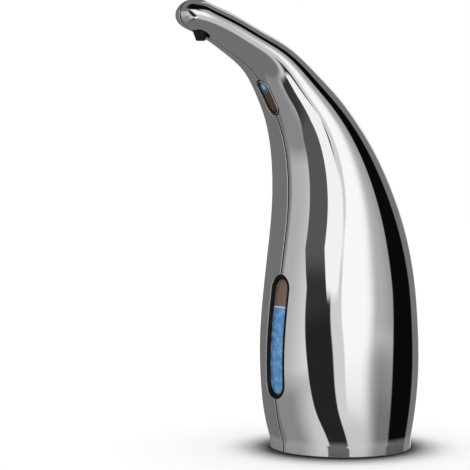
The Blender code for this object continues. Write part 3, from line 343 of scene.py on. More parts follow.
# Meshes


def finished(name, mesh, body, slot, *nodes):
    """An object for the mesh. It rides on its body and stands for the CAD nodes, where any are given."""
    piece = bpy.data.objects.new(name, mesh)
    bpy.context.scene.collection.objects.link(piece)
    piece.data.materials.append(finishes[slot])
    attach(piece, body)
    if nodes:
        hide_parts(*nodes)
    return piece


def grid_mesh(name, points, ring_rows):
    """Quads over a grid of points. Its columns close into a ring, and so do its rows where asked."""
    rows, columns = points.shape[:2]
    index = np.arange(rows * columns).reshape(rows, columns)
    index = np.concatenate([index, index[:, :1]], 1)
    if ring_rows:
        index = np.concatenate([index, index[:1]], 0)
    quads = np.stack([index[:-1, :-1], index[:-1, 1:], index[1:, 1:], index[1:, :-1]], -1).reshape(-1, 4)
    mesh = bpy.data.meshes.new(name)
    mesh.from_pydata(points.reshape(-1, 3), [], quads)
    shape = bmesh.new()
    shape.from_mesh(mesh)
    bmesh.ops.remove_doubles(shape, verts=shape.verts, dist=merge_distance)
    bmesh.ops.dissolve_degenerate(shape, edges=shape.edges, dist=merge_distance)
    bmesh.ops.recalc_face_normals(shape, faces=shape.faces)
    shape.to_mesh(mesh)
    shape.free()
    mesh.shade_smooth()
    mesh.set_sharp_from_angle(angle=math.radians(sharp_angle))
    return mesh


def split(params, faces, field, level, keep_all=True):
    """Splits the triangles where the field passes the level, and drops the low side if asked.

    On each edge that crosses the level, the new point lies at the share of the edge where the
    field, taken as straight between the two ends and then once more, meets the level.
    """
    value = field(params) - level
    value = np.where(np.abs(value) < least_value, least_value, value)
    low = value < 0
    lows = low[faces].sum(1)
    crossed = faces[(lows == 1) | (lows == 2)]
    alone_low = low[crossed].sum(1) == 1
    alone = np.where(alone_low, low[crossed].argmax(1), (~low[crossed]).argmax(1))
    row = np.arange(len(crossed))
    a = crossed[row, alone]
    b = crossed[row, (alone + 1) % 3]
    c = crossed[row, (alone + 2) % 3]
    ends = np.sort(np.stack([np.concatenate([a, a]), np.concatenate([b, c])], 1), axis=1)
    ends, where = np.unique(ends, axis=0, return_inverse=True)
    where = where.reshape(-1)
    first, last = params[ends[:, 0]], params[ends[:, 1]]
    value_first, value_last = value[ends[:, 0]], value[ends[:, 1]]
    share = value_first / (value_first - value_last)
    middle = first + (last - first) * share[:, None]
    value_middle = field(middle) - level
    before = np.sign(value_middle) == np.sign(value_first)
    span_low = np.where(before, share, 0)
    span_high = np.where(before, 1, share)
    value_low = np.where(before, value_middle, value_first)
    value_high = np.where(before, value_last, value_middle)
    share = span_low + (span_high - span_low) * value_low / (value_low - value_high)
    middle = first + (last - first) * share[:, None]
    count = len(params)
    ab = count + where[: len(a)]
    ac = count + where[len(a):]
    lone = np.stack([a, ab, ac], 1)
    pair = np.concatenate([np.stack([ab, b, c], 1), np.stack([ab, c, ac], 1)])
    if keep_all:
        kept = [faces[lows == 0], faces[lows == 3], lone, pair]
    else:
        pair_low = np.concatenate([~alone_low, ~alone_low])
        kept = [faces[lows == 0], lone[~alone_low], pair[~pair_low]]
    return np.concatenate([params, middle]), np.concatenate(kept)


class Hole:
    """An opening of the skin: distance from its outline, positive outside, and the way towards it."""

    edge = edge_radius

    def __init__(self, place, half_length, radius):
        self.place = place
        self.half_length = half_length
        self.radius = radius

    def measure(self, points):
        """Each point's distance and its unit vector away from the opening."""
        x, y, z = np.moveaxis(self.place.local(points), -1, 0)
        off = y - np.clip(y, -self.half_length, self.half_length)
        far = np.hypot(x, off)
        away = np.stack([x, off], -1) / np.maximum(far, least_value)[:, None]
        distance = np.where(z > -self.place.reach_in, far - self.radius, far_off)
        return distance, away @ self.place.axes[:2]


class Border:
    """A straight border of the skin, such as the seam: what lies above it along the direction stays."""

    def __init__(self, direction, level, edge):
        self.direction = np.array(direction, float)
        self.level = level
        self.edge = edge

    def measure(self, points):
        """Each point's distance and its unit vector away from the border."""
        return points @ self.direction - self.level, np.broadcast_to(self.direction, points.shape)


def rolled(points, normals, borders):
    """Points and normals with the edge of each border rounded off by a quarter circle."""
    drop = np.zeros(len(points))
    turned_to = normals.copy()
    wall_way = normals.copy()
    nearest = np.full(len(points), far_off)
    for border in borders:
        distance, away = border.measure(points)
        towards = -(away - normals * np.sum(away * normals, -1, keepdims=True))
        towards = unit(towards)
        sine = np.clip((border.edge - distance) / border.edge, 0, 1)
        cosine = np.sqrt(1 - sine**2)
        fall = border.edge * (1 - cosine)
        deeper = fall > drop
        drop = np.where(deeper, fall, drop)
        tilted = normals * cosine[:, None] + towards * sine[:, None]
        turned_to = np.where(deeper[:, None], tilted, turned_to)
        closer = distance < nearest
        nearest = np.where(closer, distance, nearest)
        wall_way = np.where(closer[:, None], towards, wall_way)
    return points - normals * drop[:, None], unit(turned_to), wall_way


def skin_grid():
    """The station and angle of each point on a half's grid, and the grid's triangles."""
    stations = np.concatenate([
        np.linspace(0, 1, foot_row_count)[:-1],
        np.linspace(1, last_even_station, row_count),
        np.linspace(last_even_station, tip_station, tip_row_count)[1:],
    ])
    angles = np.linspace(0, math.pi, column_count)
    params = np.stack(np.meshgrid(stations, angles, indexing="ij"), -1).reshape(-1, 2)
    index = np.arange(len(params)).reshape(len(stations), column_count)
    low, right = index[:-1, :-1].ravel(), index[:-1, 1:].ravel()
    corner, up = index[1:, 1:].ravel(), index[1:, :-1].ravel()
    faces = np.concatenate([np.stack([low, right, corner], 1), np.stack([low, corner, up], 1)])
    return params, faces


def leaning_normals(params, side, points):
    """The body's normals. Below the crease they lean down a little, as on a foot that draws in."""
    normals = body_normal(params[:, 0], side * params[:, 1])
    below_crease = np.clip((crease_height - points[:, 2]) / foot_lean_fade, 0, 1)
    normals[:, 2] -= math.tan(math.radians(foot_lean)) * below_crease
    return unit(normals)


def inner_skin(points, normals, side):
    """The skin one wall further in.

    Along the seam both halves shift it to the right, the left half more so than the other, and the
    lap that this gives closes the view through the seam.
    """
    inner = points - normals * wall
    near_seam = np.clip(1 - (np.abs(points[:, 0]) - seam_groove / 2) / seam_lap_fade, 0, 1)
    inner[:, 0] += near_seam * (seam_lap_left if side < 0 else seam_lap_right)
    return inner


def closing_walls(faces, count):
    """Two triangles from each open edge of the outer skin to the same edge of the inner one."""
    edges = np.concatenate([faces[:, [0, 1]], faces[:, [1, 2]], faces[:, [2, 0]]])
    _, back, times = np.unique(np.sort(edges, 1), axis=0, return_inverse=True, return_counts=True)
    rim = edges[times[back.reshape(-1)] == 1]
    return np.concatenate([
        np.stack([rim[:, 1], rim[:, 0], rim[:, 0] + count], 1),
        np.stack([rim[:, 1], rim[:, 0] + count, rim[:, 1] + count], 1),
    ])


def shell_half(name, side, holes):
    """One half of the moulded shell, worked out from the body's formula.

    Its grid is split along every border, the edges are rolled, and an inner skin closes it.
    """
    borders = [
        Border((side, 0, 0), seam_groove / 2, seam_edge_radius),
        Border((0, 0, 1), shell_edge_rise, shell_edge_radius),
        *holes,
    ]

    def place(params):
        return body_point(params[:, 0], side * params[:, 1])

    params, faces = skin_grid()
    for border in borders:
        for level in border.edge * roll_shares:
            params, faces = split(
                params, faces, lambda some: border.measure(place(some))[0], level, level > 0
            )
    used, faces = np.unique(faces, return_inverse=True)
    faces = faces.reshape(-1, 3)
    params = params[used]
    points = place(params)
    normals = leaning_normals(params, side, points)
    outer, outer_normals, wall_normals = rolled(points, normals, borders)
    inner = inner_skin(points, normals, side)
    if side < 0:
        faces = faces[:, ::-1]
    count = len(points)
    walls = closing_walls(faces, count)
    all_faces = np.concatenate([faces, faces[:, ::-1] + count, walls])
    corner_normals = np.concatenate([
        outer_normals[faces.ravel()],
        -normals[faces[:, ::-1].ravel()],
        wall_normals[walls.ravel() % count],
    ])
    mesh = bpy.data.meshes.new(name)
    mesh.from_pydata(np.concatenate([outer, inner]), [], all_faces)
    slots = np.repeat([0, 1], [len(faces), len(faces) + len(walls)])
    mesh.polygons.foreach_set("material_index", slots)
    mesh.shade_smooth()
    mesh.normals_split_custom_set(corner_normals)
    return mesh


def stadium(half_length):
    """Directions and centre heights round an outline of two half circles and two straight sides."""
    if half_length == 0:
        turn = np.linspace(0, 2 * math.pi, round_points, endpoint=False)
        return turn, np.zeros_like(turn)
    arc = np.linspace(0, math.pi, arc_points)
    run = np.linspace(half_length, -half_length, straight_points)[1:-1]
    turn = np.concatenate([arc, np.full(len(run), math.pi), arc + math.pi, np.full(len(run), 2 * math.pi)])
    rise = np.concatenate([
        np.full(arc_points, half_length), run, np.full(arc_points, -half_length), run[::-1]
    ])
    return turn, rise


def insert_mesh(name, place, half_length, radius, profile, ring=False, dent=None):
    """A piece let into the skin: a profile of (inset from the outline, rise over the skin).

    The profile is carried round the outline, and each point is set off from the body along the
    body's own normal. A dent takes the places and their rise, and gives the new rise.
    """
    turn, rise = stadium(half_length)
    inset = np.array([point[0] for point in profile])[:, None]
    x = (radius - inset) * np.cos(turn)
    y = (radius - inset) * np.sin(turn) + rise
    above = np.array([point[1] for point in profile])[:, None] + np.zeros_like(x)
    if dent:
        above = dent(x, y, above)
    station, angle = place.on_body(x, y)
    points = body_point(station, angle) + body_normal(station, angle) * above[..., None]
    return grid_mesh(name, points, ring)


def turned_mesh(name, place, profile, ring=False):
    """A profile of (radius, rise) turned about the place's Z."""
    turn = np.linspace(0, 2 * math.pi, round_points, endpoint=False)
    radius = np.array([point[0] for point in profile])[:, None]
    rise = np.array([point[1] for point in profile])[:, None]
    local = np.stack([radius * np.cos(turn), radius * np.sin(turn), rise + np.zeros_like(turn)], -1)
    return grid_mesh(name, local @ place.axes + place.origin, ring)


def joined(name, *meshes):
    """One mesh of several closed ones."""
    shape = bmesh.new()
    for mesh in meshes:
        shape.from_mesh(mesh)
    together = bpy.data.meshes.new(name)
    shape.to_mesh(together)
    shape.free()
    together.shade_smooth()
    together.set_sharp_from_angle(angle=math.radians(sharp_angle))
    return together


# Finishes: colour, roughness, metallic, and how much colour, roughness and relief vary

patch_stops = (0.3, 0.7)
roughness_drift = 3
grain_scale = 2500
relief_depth = 0.1 * mm
haze_level = 7.2 * mm
haze_soft = 3.2 * mm
haze = 0.22
plain_white = (1.0, 1.0, 1.0, 1.0)
plain_black = (0.0, 0.0, 0.0)

# The Mix node's colour sockets go by number, because its other sockets have the same names
first_colour = 6
second_colour = 7
mixed_colour = 2


def node(tree, kind, **values):
    """A new node of the kind, with its values set."""
    made = tree.nodes.new(kind)
    for name, value in values.items():
        setattr(made, name, value)
    return made


def object_place(tree):
    """The X, Y and Z sockets of the object's own coordinates."""
    parts = node(tree, "ShaderNodeSeparateXYZ")
    tree.links.new(node(tree, "ShaderNodeTexCoord").outputs["Object"], parts.inputs["Vector"])
    return parts.outputs


def noise(tree, scale, detail=3.0):
    """Noise on the object's own coordinates, in cells per metre."""
    place = node(tree, "ShaderNodeTexCoord")
    pattern = node(tree, "ShaderNodeTexNoise")
    pattern.inputs["Scale"].default_value = scale
    pattern.inputs["Detail"].default_value = detail
    tree.links.new(place.outputs["Object"], pattern.inputs["Vector"])
    return pattern.outputs["Fac"]


def ramp(tree, value, places, colours):
    """A colour ramp with a colour at each place."""
    made = node(tree, "ShaderNodeValToRGB")
    elements = made.color_ramp.elements
    for place in places[1:-1]:
        elements.new(place)
    for element, place, colour in zip(elements, places, colours):
        element.position = place
        element.color = (*colour, 1.0)
    tree.links.new(value, made.inputs["Fac"])
    return made.outputs["Color"]


def between(tree, value, low, high):
    """A number between low and high, for a value from 0 to 1."""
    made = node(tree, "ShaderNodeMapRange")
    made.inputs["To Min"].default_value = low
    made.inputs["To Max"].default_value = high
    tree.links.new(value, made.inputs["Value"])
    return made.outputs["Result"]


def step(tree, value, centre, soft, falls=False):
    """A soft step up, or down, at the centre."""
    made = node(tree, "ShaderNodeMapRange", interpolation_type="SMOOTHSTEP")
    made.inputs["From Min"].default_value = centre - soft / 2
    made.inputs["From Max"].default_value = centre + soft / 2
    made.inputs["To Min"].default_value = 1.0 if falls else 0.0
    made.inputs["To Max"].default_value = 0.0 if falls else 1.0
    tree.links.new(value, made.inputs["Value"])
    return made.outputs["Result"]


def maths(tree, operation, *values):
    """A Math node's result, each value a socket or a number."""
    made = node(tree, "ShaderNodeMath", operation=operation)
    for socket, value in zip(made.inputs, values):
        if isinstance(value, bpy.types.NodeSocket):
            tree.links.new(value, socket)
        else:
            socket.default_value = value
    return made.outputs["Value"]


def band(tree, value, low, high, soft_low, soft_high):
    """1 between low and high and 0 past them, with soft edges."""
    rising = step(tree, value, low, soft_low)
    return maths(tree, "MULTIPLY", rising, step(tree, value, high, soft_high, falls=True))


def mixed(tree, share, first, second):
    """A colour between two, each a socket or a colour."""
    made = node(tree, "ShaderNodeMix", data_type="RGBA")
    tree.links.new(share, made.inputs["Factor"])
    for socket, value in ((made.inputs[first_colour], first), (made.inputs[second_colour], second)):
        if isinstance(value, bpy.types.NodeSocket):
            tree.links.new(value, socket)
        else:
            socket.default_value = (*value, 1.0)
    return made.outputs[mixed_colour]


def finish(name, colour, roughness, metallic=0.0, drift=0.06, patch=60, relief=0.0, **sockets):
    """A Principled finish. Colour and roughness drift over patches, and a fine grain gives relief."""
    material = bpy.data.materials.new(name)
    material.use_nodes = True
    tree = material.node_tree
    shader = tree.nodes["Principled BSDF"]
    patches = noise(tree, patch)
    darker = [channel * (1 - drift) for channel in colour]
    lighter = [min(1.0, channel * (1 + drift)) for channel in colour]
    tree.links.new(ramp(tree, patches, patch_stops, (darker, lighter)), shader.inputs["Base Color"])
    wider = roughness_drift * drift
    spread = between(tree, patches, roughness * (1 - wider), roughness * (1 + wider))
    tree.links.new(spread, shader.inputs["Roughness"])
    shader.inputs["Metallic"].default_value = metallic
    for socket, value in sockets.items():
        shader.inputs[socket.replace("_", " ")].default_value = value
    if relief:
        bump = node(tree, "ShaderNodeBump")
        bump.inputs["Strength"].default_value = relief
        bump.inputs["Distance"].default_value = relief_depth
        tree.links.new(noise(tree, grain_scale), bump.inputs["Height"])
        tree.links.new(bump.outputs["Normal"], shader.inputs["Normal"])
    return material


def soapy(material):
    """The finish with cloudy blue soap showing through it up to a level, and a bright line there."""
    tree = material.node_tree
    base = tree.nodes["Principled BSDF"].inputs["Base Color"]
    dry = base.links[0].from_socket
    rise = object_place(tree)["Z"]
    soap = ramp(tree, noise(tree, soap_cloud, soap_cloud_detail), soap_stops, soap_tones)
    colour = mixed(tree, step(tree, rise, soap_level, soap_level_soft, falls=True), dry, soap)
    line = band(tree, rise, soap_level - soap_line, soap_level, soap_line_soft, soap_line_soft)
    tree.links.new(mixed(tree, line, colour, soap_bright), base)
    return material


def glowing(material, centre):
    """The finish with the light behind it: a glow that falls off with the distance from its centre."""
    tree = material.node_tree
    shader = tree.nodes["Principled BSDF"]
    gap = node(tree, "ShaderNodeVectorMath", operation="DISTANCE")
    tree.links.new(node(tree, "ShaderNodeTexCoord").outputs["Object"], gap.inputs[0])
    gap.inputs[1].default_value = tuple(centre)
    middle = (led_glow_inner + led_glow_outer) / 2
    near = step(tree, gap.outputs["Value"], middle, led_glow_outer - led_glow_inner, falls=True)
    colour = ramp(tree, near, (0.0, led_core_share, 1.0), (led_halo, led_halo, led_core))
    tree.links.new(colour, shader.inputs["Emission Color"])
    tree.links.new(near, shader.inputs["Emission Strength"])
    return material


def hazy_foot(material):
    """The finish with a satin haze at its foot, where it is a little less metallic."""
    tree = material.node_tree
    low = step(tree, object_place(tree)["Z"], haze_level, haze_soft, falls=True)
    metallic = maths(tree, "MULTIPLY_ADD", low, -haze, 1.0)
    tree.links.new(metallic, tree.nodes["Principled BSDF"].inputs["Metallic"])
    return material


finishes = {
    "chrome": hazy_foot(finish("chrome", (0.93, 0.93, 0.935), 0.03, 1.0, drift=0.012, patch=25)),
    "black_plastic": finish(
        "black_plastic", (0.009, 0.009, 0.010), 0.28, drift=0.1, relief=0.2, Specular_IOR_Level=0.2
    ),
    "grey_plastic": finish("grey_plastic", (0.19, 0.19, 0.20), 0.45, relief=0.3),
    "rubber": finish(
        "rubber", (0.006, 0.005, 0.005), 0.45, drift=0.12, relief=0.35, Specular_IOR_Level=0.2
    ),
    "clear_window": soapy(finish("clear_window", (0.29, 0.20, 0.165), 0.06, drift=0.03, Alpha=0.4)),
    "sensor_window": finish("sensor_window", (0.070, 0.038, 0.025), 0.06, drift=0.1, patch=300),
    "tank_plastic": soapy(finish("tank_plastic", (0.34, 0.24, 0.20), 0.3, drift=0.05)),
    "hose": finish("hose", (0.75, 0.75, 0.73), 0.35, drift=0.04),
    "white_plastic": finish("white_plastic", (0.72, 0.72, 0.70), 0.4, drift=0.03, relief=0.2),
    "steel": finish("steel", (0.50, 0.50, 0.50), 0.28, 1.0, relief=0.15),
    "nickel": finish("nickel", (0.62, 0.60, 0.54), 0.25, 1.0, relief=0.1),
    "circuit_board": finish("circuit_board", (0.01, 0.13, 0.05), 0.42, drift=0.15, patch=400),
    "chip_black": finish("chip_black", (0.02, 0.02, 0.02), 0.55, relief=0.3),
    "cell_jacket": finish("cell_jacket", (0.05, 0.13, 0.33), 0.3, drift=0.05),
    "blue_led": finish("blue_led", (0.05, 0.25, 0.9), 0.15, drift=0.05),
    "dark_diode": finish("dark_diode", (0.03, 0.02, 0.04), 0.12, drift=0.1),
    "lead_red": finish("lead_red", (0.45, 0.02, 0.02), 0.42, drift=0.08),
    "lead_black": finish("lead_black", (0.012, 0.012, 0.012), 0.42, drift=0.1),
}

slot_of = {part["node"]: part["material_slot"] for part in frame["record"]["subparts"]}
for cad_node in frame["nodes"].values():
    cad_node.data.materials.clear()
    cad_node.data.materials.append(finishes[slot_of[cad_node.name]])


# Openings and the shell

window_place = Place(window_station, front_side)
sensor_place = Place(sensor_station, front_side)
filler_place = Place(filler_station, back_side)
button_place = Place(button_station, back_side)
nozzle_place = Upright(nozzle_station)
glowing(finishes["sensor_window"], sensor_place.origin + sensor_place.axes[1] * diode_spacing)
holes = [
    Hole(window_place, window_half, window_radius),
    Hole(sensor_place, sensor_half, sensor_radius),
    Hole(filler_place, 0.0, filler_cap_radius + clearance),
    Hole(button_place, 0.0, button_radius + clearance),
    Hole(nozzle_place, 0.0, nozzle_top_radius + clearance),
]
for side_name, side in (("left", -1), ("right", 1)):
    half = shell_half(side_name + "_shell_skin", side, holes)
    skin = finished(side_name + "_shell_skin", half, "housing", "chrome", side_name + "_shell")
    skin.data.materials.append(finishes["black_plastic"])


# Level window


def rim_profile(flat, width, slope_drop, depth):
    """A rim's closed profile: outer wall, rounded edge, flat, rounded crest and slope to the lens."""
    slope = math.atan2(slope_drop - rim_drop, width - flat)
    outer = [
        (clearance + rim_radius * (1 - math.cos(t)), -rim_drop - rim_radius * (1 - math.sin(t)))
        for t in edge_turns
    ]
    crest = [
        (flat + rim_radius * math.sin(t), -rim_drop - rim_radius * (1 - math.cos(t)))
        for t in np.linspace(0, slope, crest_points)
    ]
    return [(clearance, -depth), *outer, *crest, (width, -slope_drop), (width, -depth)]


def lens_profile(outline_inset, radius, drop, thickness, soft, rings=face_rings):
    """A lens: flat back, straight edge, soft shoulder and a face that follows the skin."""
    shares = np.linspace(0, 1, rings) ** ring_crowding
    insets = outline_inset + soft + (radius - outline_inset - soft) * shares
    shoulder = [
        (outline_inset + soft * (1 - np.cos(t)), -drop - soft * (1 - np.sin(t))) for t in edge_turns
    ]
    back = [(inset, -drop - thickness) for inset in insets[::-1]]
    face = [(inset, -drop) for inset in insets[1:]]
    return [*back, (outline_inset, -drop - thickness), *shoulder, *face]


window_rim_mesh = insert_mesh(
    "window_rim", window_place, window_half, window_radius,
    rim_profile(window_rim_flat, window_rim_width, window_lens_drop + rim_drop, window_rim_depth),
    ring=True,
)
finished("window_rim", window_rim_mesh, "housing", "rubber", "window_gasket")
lens_inset = window_rim_width + lens_gap
window_lens_mesh = insert_mesh(
    "window_lens", window_place, window_half, window_radius,
    lens_profile(lens_inset, window_radius, window_lens_drop, window_lens_thickness, lens_shoulder),
)
finished("window_lens", window_lens_mesh, "housing", "clear_window", "level_window")
sight_drop = window_lens_drop + window_lens_thickness + clearance
tank_sight_mesh = insert_mesh(
    "tank_sight", window_place, window_half, window_radius,
    lens_profile(lens_inset, window_radius, sight_drop, sight_thickness, lens_shoulder),
)
finished("tank_sight", tank_sight_mesh, "housing", "tank_plastic")


# Hand sensor: a black rim with a step, a bright quarter-round trim on the step, and a dark lens

sensor_rim_profile = [
    (clearance, -sensor_rim_depth), (clearance, -trim_foot), (trim_outer, -trim_foot - rim_drop / 2),
    (trim_inner, -rim_drop), (sensor_rim_crest, -rim_drop),
    (sensor_rim_width, -sensor_lens_drop - rim_drop), (sensor_rim_width, -sensor_rim_depth),
]
sensor_rim_mesh = insert_mesh(
    "sensor_rim", sensor_place, sensor_half, sensor_radius, sensor_rim_profile, ring=True,
)
finished("sensor_rim", sensor_rim_mesh, "housing", "black_plastic", "sensor_bezel")
trim_width = trim_inner - trim_outer
trim_round = [
    (trim_outer + trim_width * (1 - math.cos(t)), -rim_drop / 2 - trim_width * (1 - math.sin(t)))
    for t in trim_turns
]
sensor_trim_mesh = insert_mesh(
    "sensor_trim", sensor_place, sensor_half, sensor_radius,
    [(trim_outer, -trim_foot - rim_drop), *trim_round, (trim_inner, -trim_foot - rim_drop)],
    ring=True,
)
finished("sensor_trim", sensor_trim_mesh, "housing", "chrome")
sensor_lens_inset = sensor_rim_width + lens_gap
sensor_lens_mesh = insert_mesh(
    "sensor_lens", sensor_place, sensor_half, sensor_radius,
    lens_profile(
        sensor_lens_inset, sensor_radius, sensor_lens_drop, sensor_lens_thickness, lens_shoulder
    ),
)
finished("sensor_lens", sensor_lens_mesh, "housing", "sensor_window", "sensor_window")


# Filler cap: a lid with a notch for a fingernail, and its plug


def nail_notch(x, y, above):
    """Rise over the skin, less the notch's depth within its circle and with a soft step at its edge."""
    notch_drop = filler_cap_radius + nail_notch_radius - nail_notch_reach
    share = np.clip((nail_notch_radius - np.hypot(x, y + notch_drop)) / nail_notch_soft, 0, 1)
    sunk = above - nail_notch_depth * share**2 * (3 - 2 * share)
    return np.where(above > -filler_cap_thickness / 2, sunk, above)


lid_profile = lens_profile(
    0.0, filler_cap_radius, 0.0, filler_cap_thickness, edge_radius, rings=lid_rings
)
lid_mesh = insert_mesh(
    "filler_lid", filler_place, 0.0, filler_cap_radius, lid_profile, dent=nail_notch
)
groove_top = -plug_ring_drop + plug_groove_half
groove_foot = -plug_ring_drop - plug_groove_half
plug_mesh = turned_mesh("filler_plug", filler_place, [
    (0.0, -plug_top), (plug_radius, -plug_top), (plug_radius, groove_top), (plug_groove_radius, groove_top),
    (plug_groove_radius, groove_foot), (plug_radius, groove_foot), (plug_radius, -plug_length + clearance),
    (plug_radius - clearance, -plug_length), (plug_hollow_radius, -plug_length),
    (plug_hollow_radius, -plug_ring_drop), (0.0, -plug_ring_drop),
])
finished("filler_lid", joined("filler_lid", lid_mesh, plug_mesh), "filler_cap", "chrome", "filler_cap")


# Power button: its cap, the flange that holds it in and the stem that meets the switch

button_foot = wall + clearance + button_flange
button_face = insert_mesh(
    "button_cap", button_place, 0.0, button_radius,
    lens_profile(0.0, button_radius, button_recess, button_foot - button_recess, edge_radius),
)
flange_radius = button_radius + button_flange_width
flange_mesh = insert_mesh(
    "button_flange", button_place, 0.0, flange_radius,
    lens_profile(0.0, flange_radius, wall + clearance, button_flange, lens_shoulder),
)
stem_mesh = turned_mesh("button_stem", button_place, [
    (0.0, -button_foot + clearance), (button_stem_radius, -button_foot + clearance),
    (button_stem_radius, -button_stem_length), (0.0, -button_stem_length),
])
button_mesh = joined("button_cap", button_face, flange_mesh, stem_mesh)
finished("button_cap", button_mesh, "power_button", "black_plastic", "power_button")


# Nozzle: a tapered spout with a soft lip, and the flange that holds it in the head

head_half = body_depth / 2 * float(share_at(depth_shares, np.array(nozzle_station)))
tip = head_half + nozzle_drop
lip = [
    (nozzle_tip_radius - nozzle_lip * (1 - math.cos(t)), tip - nozzle_lip * (1 - math.sin(t)))
    for t in lip_turns
]
spout_mesh = turned_mesh("nozzle_spout", nozzle_place, [
    (nozzle_bore_radius, 0.0), (nozzle_top_radius, 0.0), (nozzle_top_radius, head_half - wall), *lip,
    (nozzle_bore_radius + nozzle_lip, tip), (nozzle_bore_radius, tip - nozzle_lip),
], ring=True)
flange_inner = nozzle_top_radius / 2
flange_outer = nozzle_top_radius + nozzle_flange_width
flange_low = head_half - wall - clearance - nozzle_flange
flange_high = flange_low + nozzle_flange / 2
nozzle_flange_mesh = turned_mesh("nozzle_flange", nozzle_place, [
    (flange_inner, flange_low), (flange_outer, flange_low),
    (flange_outer, flange_high), (flange_inner, flange_high),
], ring=True)
nozzle_mesh = joined("nozzle_spout", spout_mesh, nozzle_flange_mesh)
finished("nozzle_spout", nozzle_mesh, "housing", "black_plastic", "nozzle")


# Floor: white, and darker where the object hides the sky

floor_size = 3000 * mm
floor_tone = (0.92, 0.92, 0.92)
floor_roughness = 0.7
floor_drift = 0.01
floor_lift = 0.2
shadow_reach = 45 * mm
shadow_tone = 0.05
shadow_centre = 0.68
shadow_soft = 0.36
shadow_samples = 16


def sheet(name, corners, material):
    """An object of one face, linked into the scene."""
    mesh = bpy.data.meshes.new(name)
    mesh.from_pydata(corners, [], [(0, 1, 2, 3)])
    mesh.materials.append(material)
    flat = bpy.data.objects.new(name, mesh)
    bpy.context.scene.collection.objects.link(flat)
    return flat


def floor_finish():
    """The floor's white, lifted a little for the camera, under a shadow from how open its sky is."""
    material = finish("floor_white", floor_tone, floor_roughness, drift=floor_drift)
    tree = material.node_tree
    shader = tree.nodes["Principled BSDF"]
    shader.inputs["Emission Color"].default_value = plain_white
    shader.inputs["Specular IOR Level"].default_value = 0.0
    seen = node(tree, "ShaderNodeLightPath").outputs["Is Camera Ray"]
    open_sky = node(tree, "ShaderNodeAmbientOcclusion", samples=shadow_samples)
    open_sky.inputs["Distance"].default_value = shadow_reach
    openness = step(tree, open_sky.outputs["AO"], shadow_centre, shadow_soft)
    lit = maths(tree, "MULTIPLY_ADD", openness, 1 - shadow_tone, shadow_tone)
    glow = maths(tree, "MULTIPLY", maths(tree, "MULTIPLY", seen, floor_lift), lit)
    tree.links.new(glow, shader.inputs["Emission Strength"])
    base = shader.inputs["Base Color"]
    colour = mixed(tree, lit, plain_black, base.links[0].from_socket)
    tree.links.new(colour, base)
    return material


floor_corners = [
    (x * floor_size, y * floor_size, 0.0) for x, y in ((-1, -1), (1, -1), (1, 1), (-1, 1))
]
floor = sheet("floor", floor_corners, floor_finish())
floor.visible_glossy = False


# Studio: cards stand round the object, and the chrome shows them as its bands

full_tone = 255
srgb_offset = 0.055
srgb_power = 2.4


def linear(tone):
    """Linear light of an sRGB tone, whose white is the full tone."""
    return ((tone / full_tone + srgb_offset) / (1 + srgb_offset)) ** srgb_power


# Each card: its left and right edge in degrees from the camera's own azimuth, how far it leans for each
# degree of height, the softness of those edges, its bottom and top, their softness, and its tone. Only
# the left flag's cards go on leaning below the horizon.
background_tone = 114
plain_light = 0.95
backdrop_light = 1.0
cards = (
    ("left wall", -100, 180, 0.2, 8, 4, -38, 18, 12, 6, 178),
    ("left wall by the flag", -52, 180, 0.35, 76, 4, -40, 18, 16, 6, 242),
    ("left table", -104, 180, 0.0, 8, 4, -50, -12, 10, 10, 138),
    ("left table by the flag", -52, 180, 0.0, 48, 4, -50, -12, 10, 10, 204),
    ("table front", -14, 46, 0.2, 20, 34, -50, -12, 18, 10, 200),
    ("table right", 52, 95, 0.0, 30, 4, -44, -8, 12, 14, 118),
    ("right wall", 46, 95, 0.4, 26, 4, -10, 35, 14, 5, 178),
    ("right wall by the flag", 72, 95, 0.6, 30, 4, -8, 30, 14, 5, 155),
    ("front softbox", -12, 44, 1.3, 6, 22, -17, 32, 16, 16, 255),
    ("right flag", 85, 134, 0.66, 3, 3, -60, 60, 10, 14, 10),
    ("behind the flag", 132, 164, 0.66, 4, 6, -60, 60, 10, 14, 118),
    ("backdrop", 170, 180, 0.3, 8, 1, -40, 60, 10, 14, 225),
    ("left flag's rim", -14, 2, 0.86, 2, 2, -24, 8, 10, 3, 212),
    ("left flag", -49, -13, 0.86, 2, 2, -40, 22, 8, 5, 56),
    ("left flag's foot", -49, -14, 0.86, 2, 3, -36, 5, 8, 10, 36),
    ("overhead flag", -65, 128, 0.66, 24, 3, 36, 100, 5, 8, 12),
)


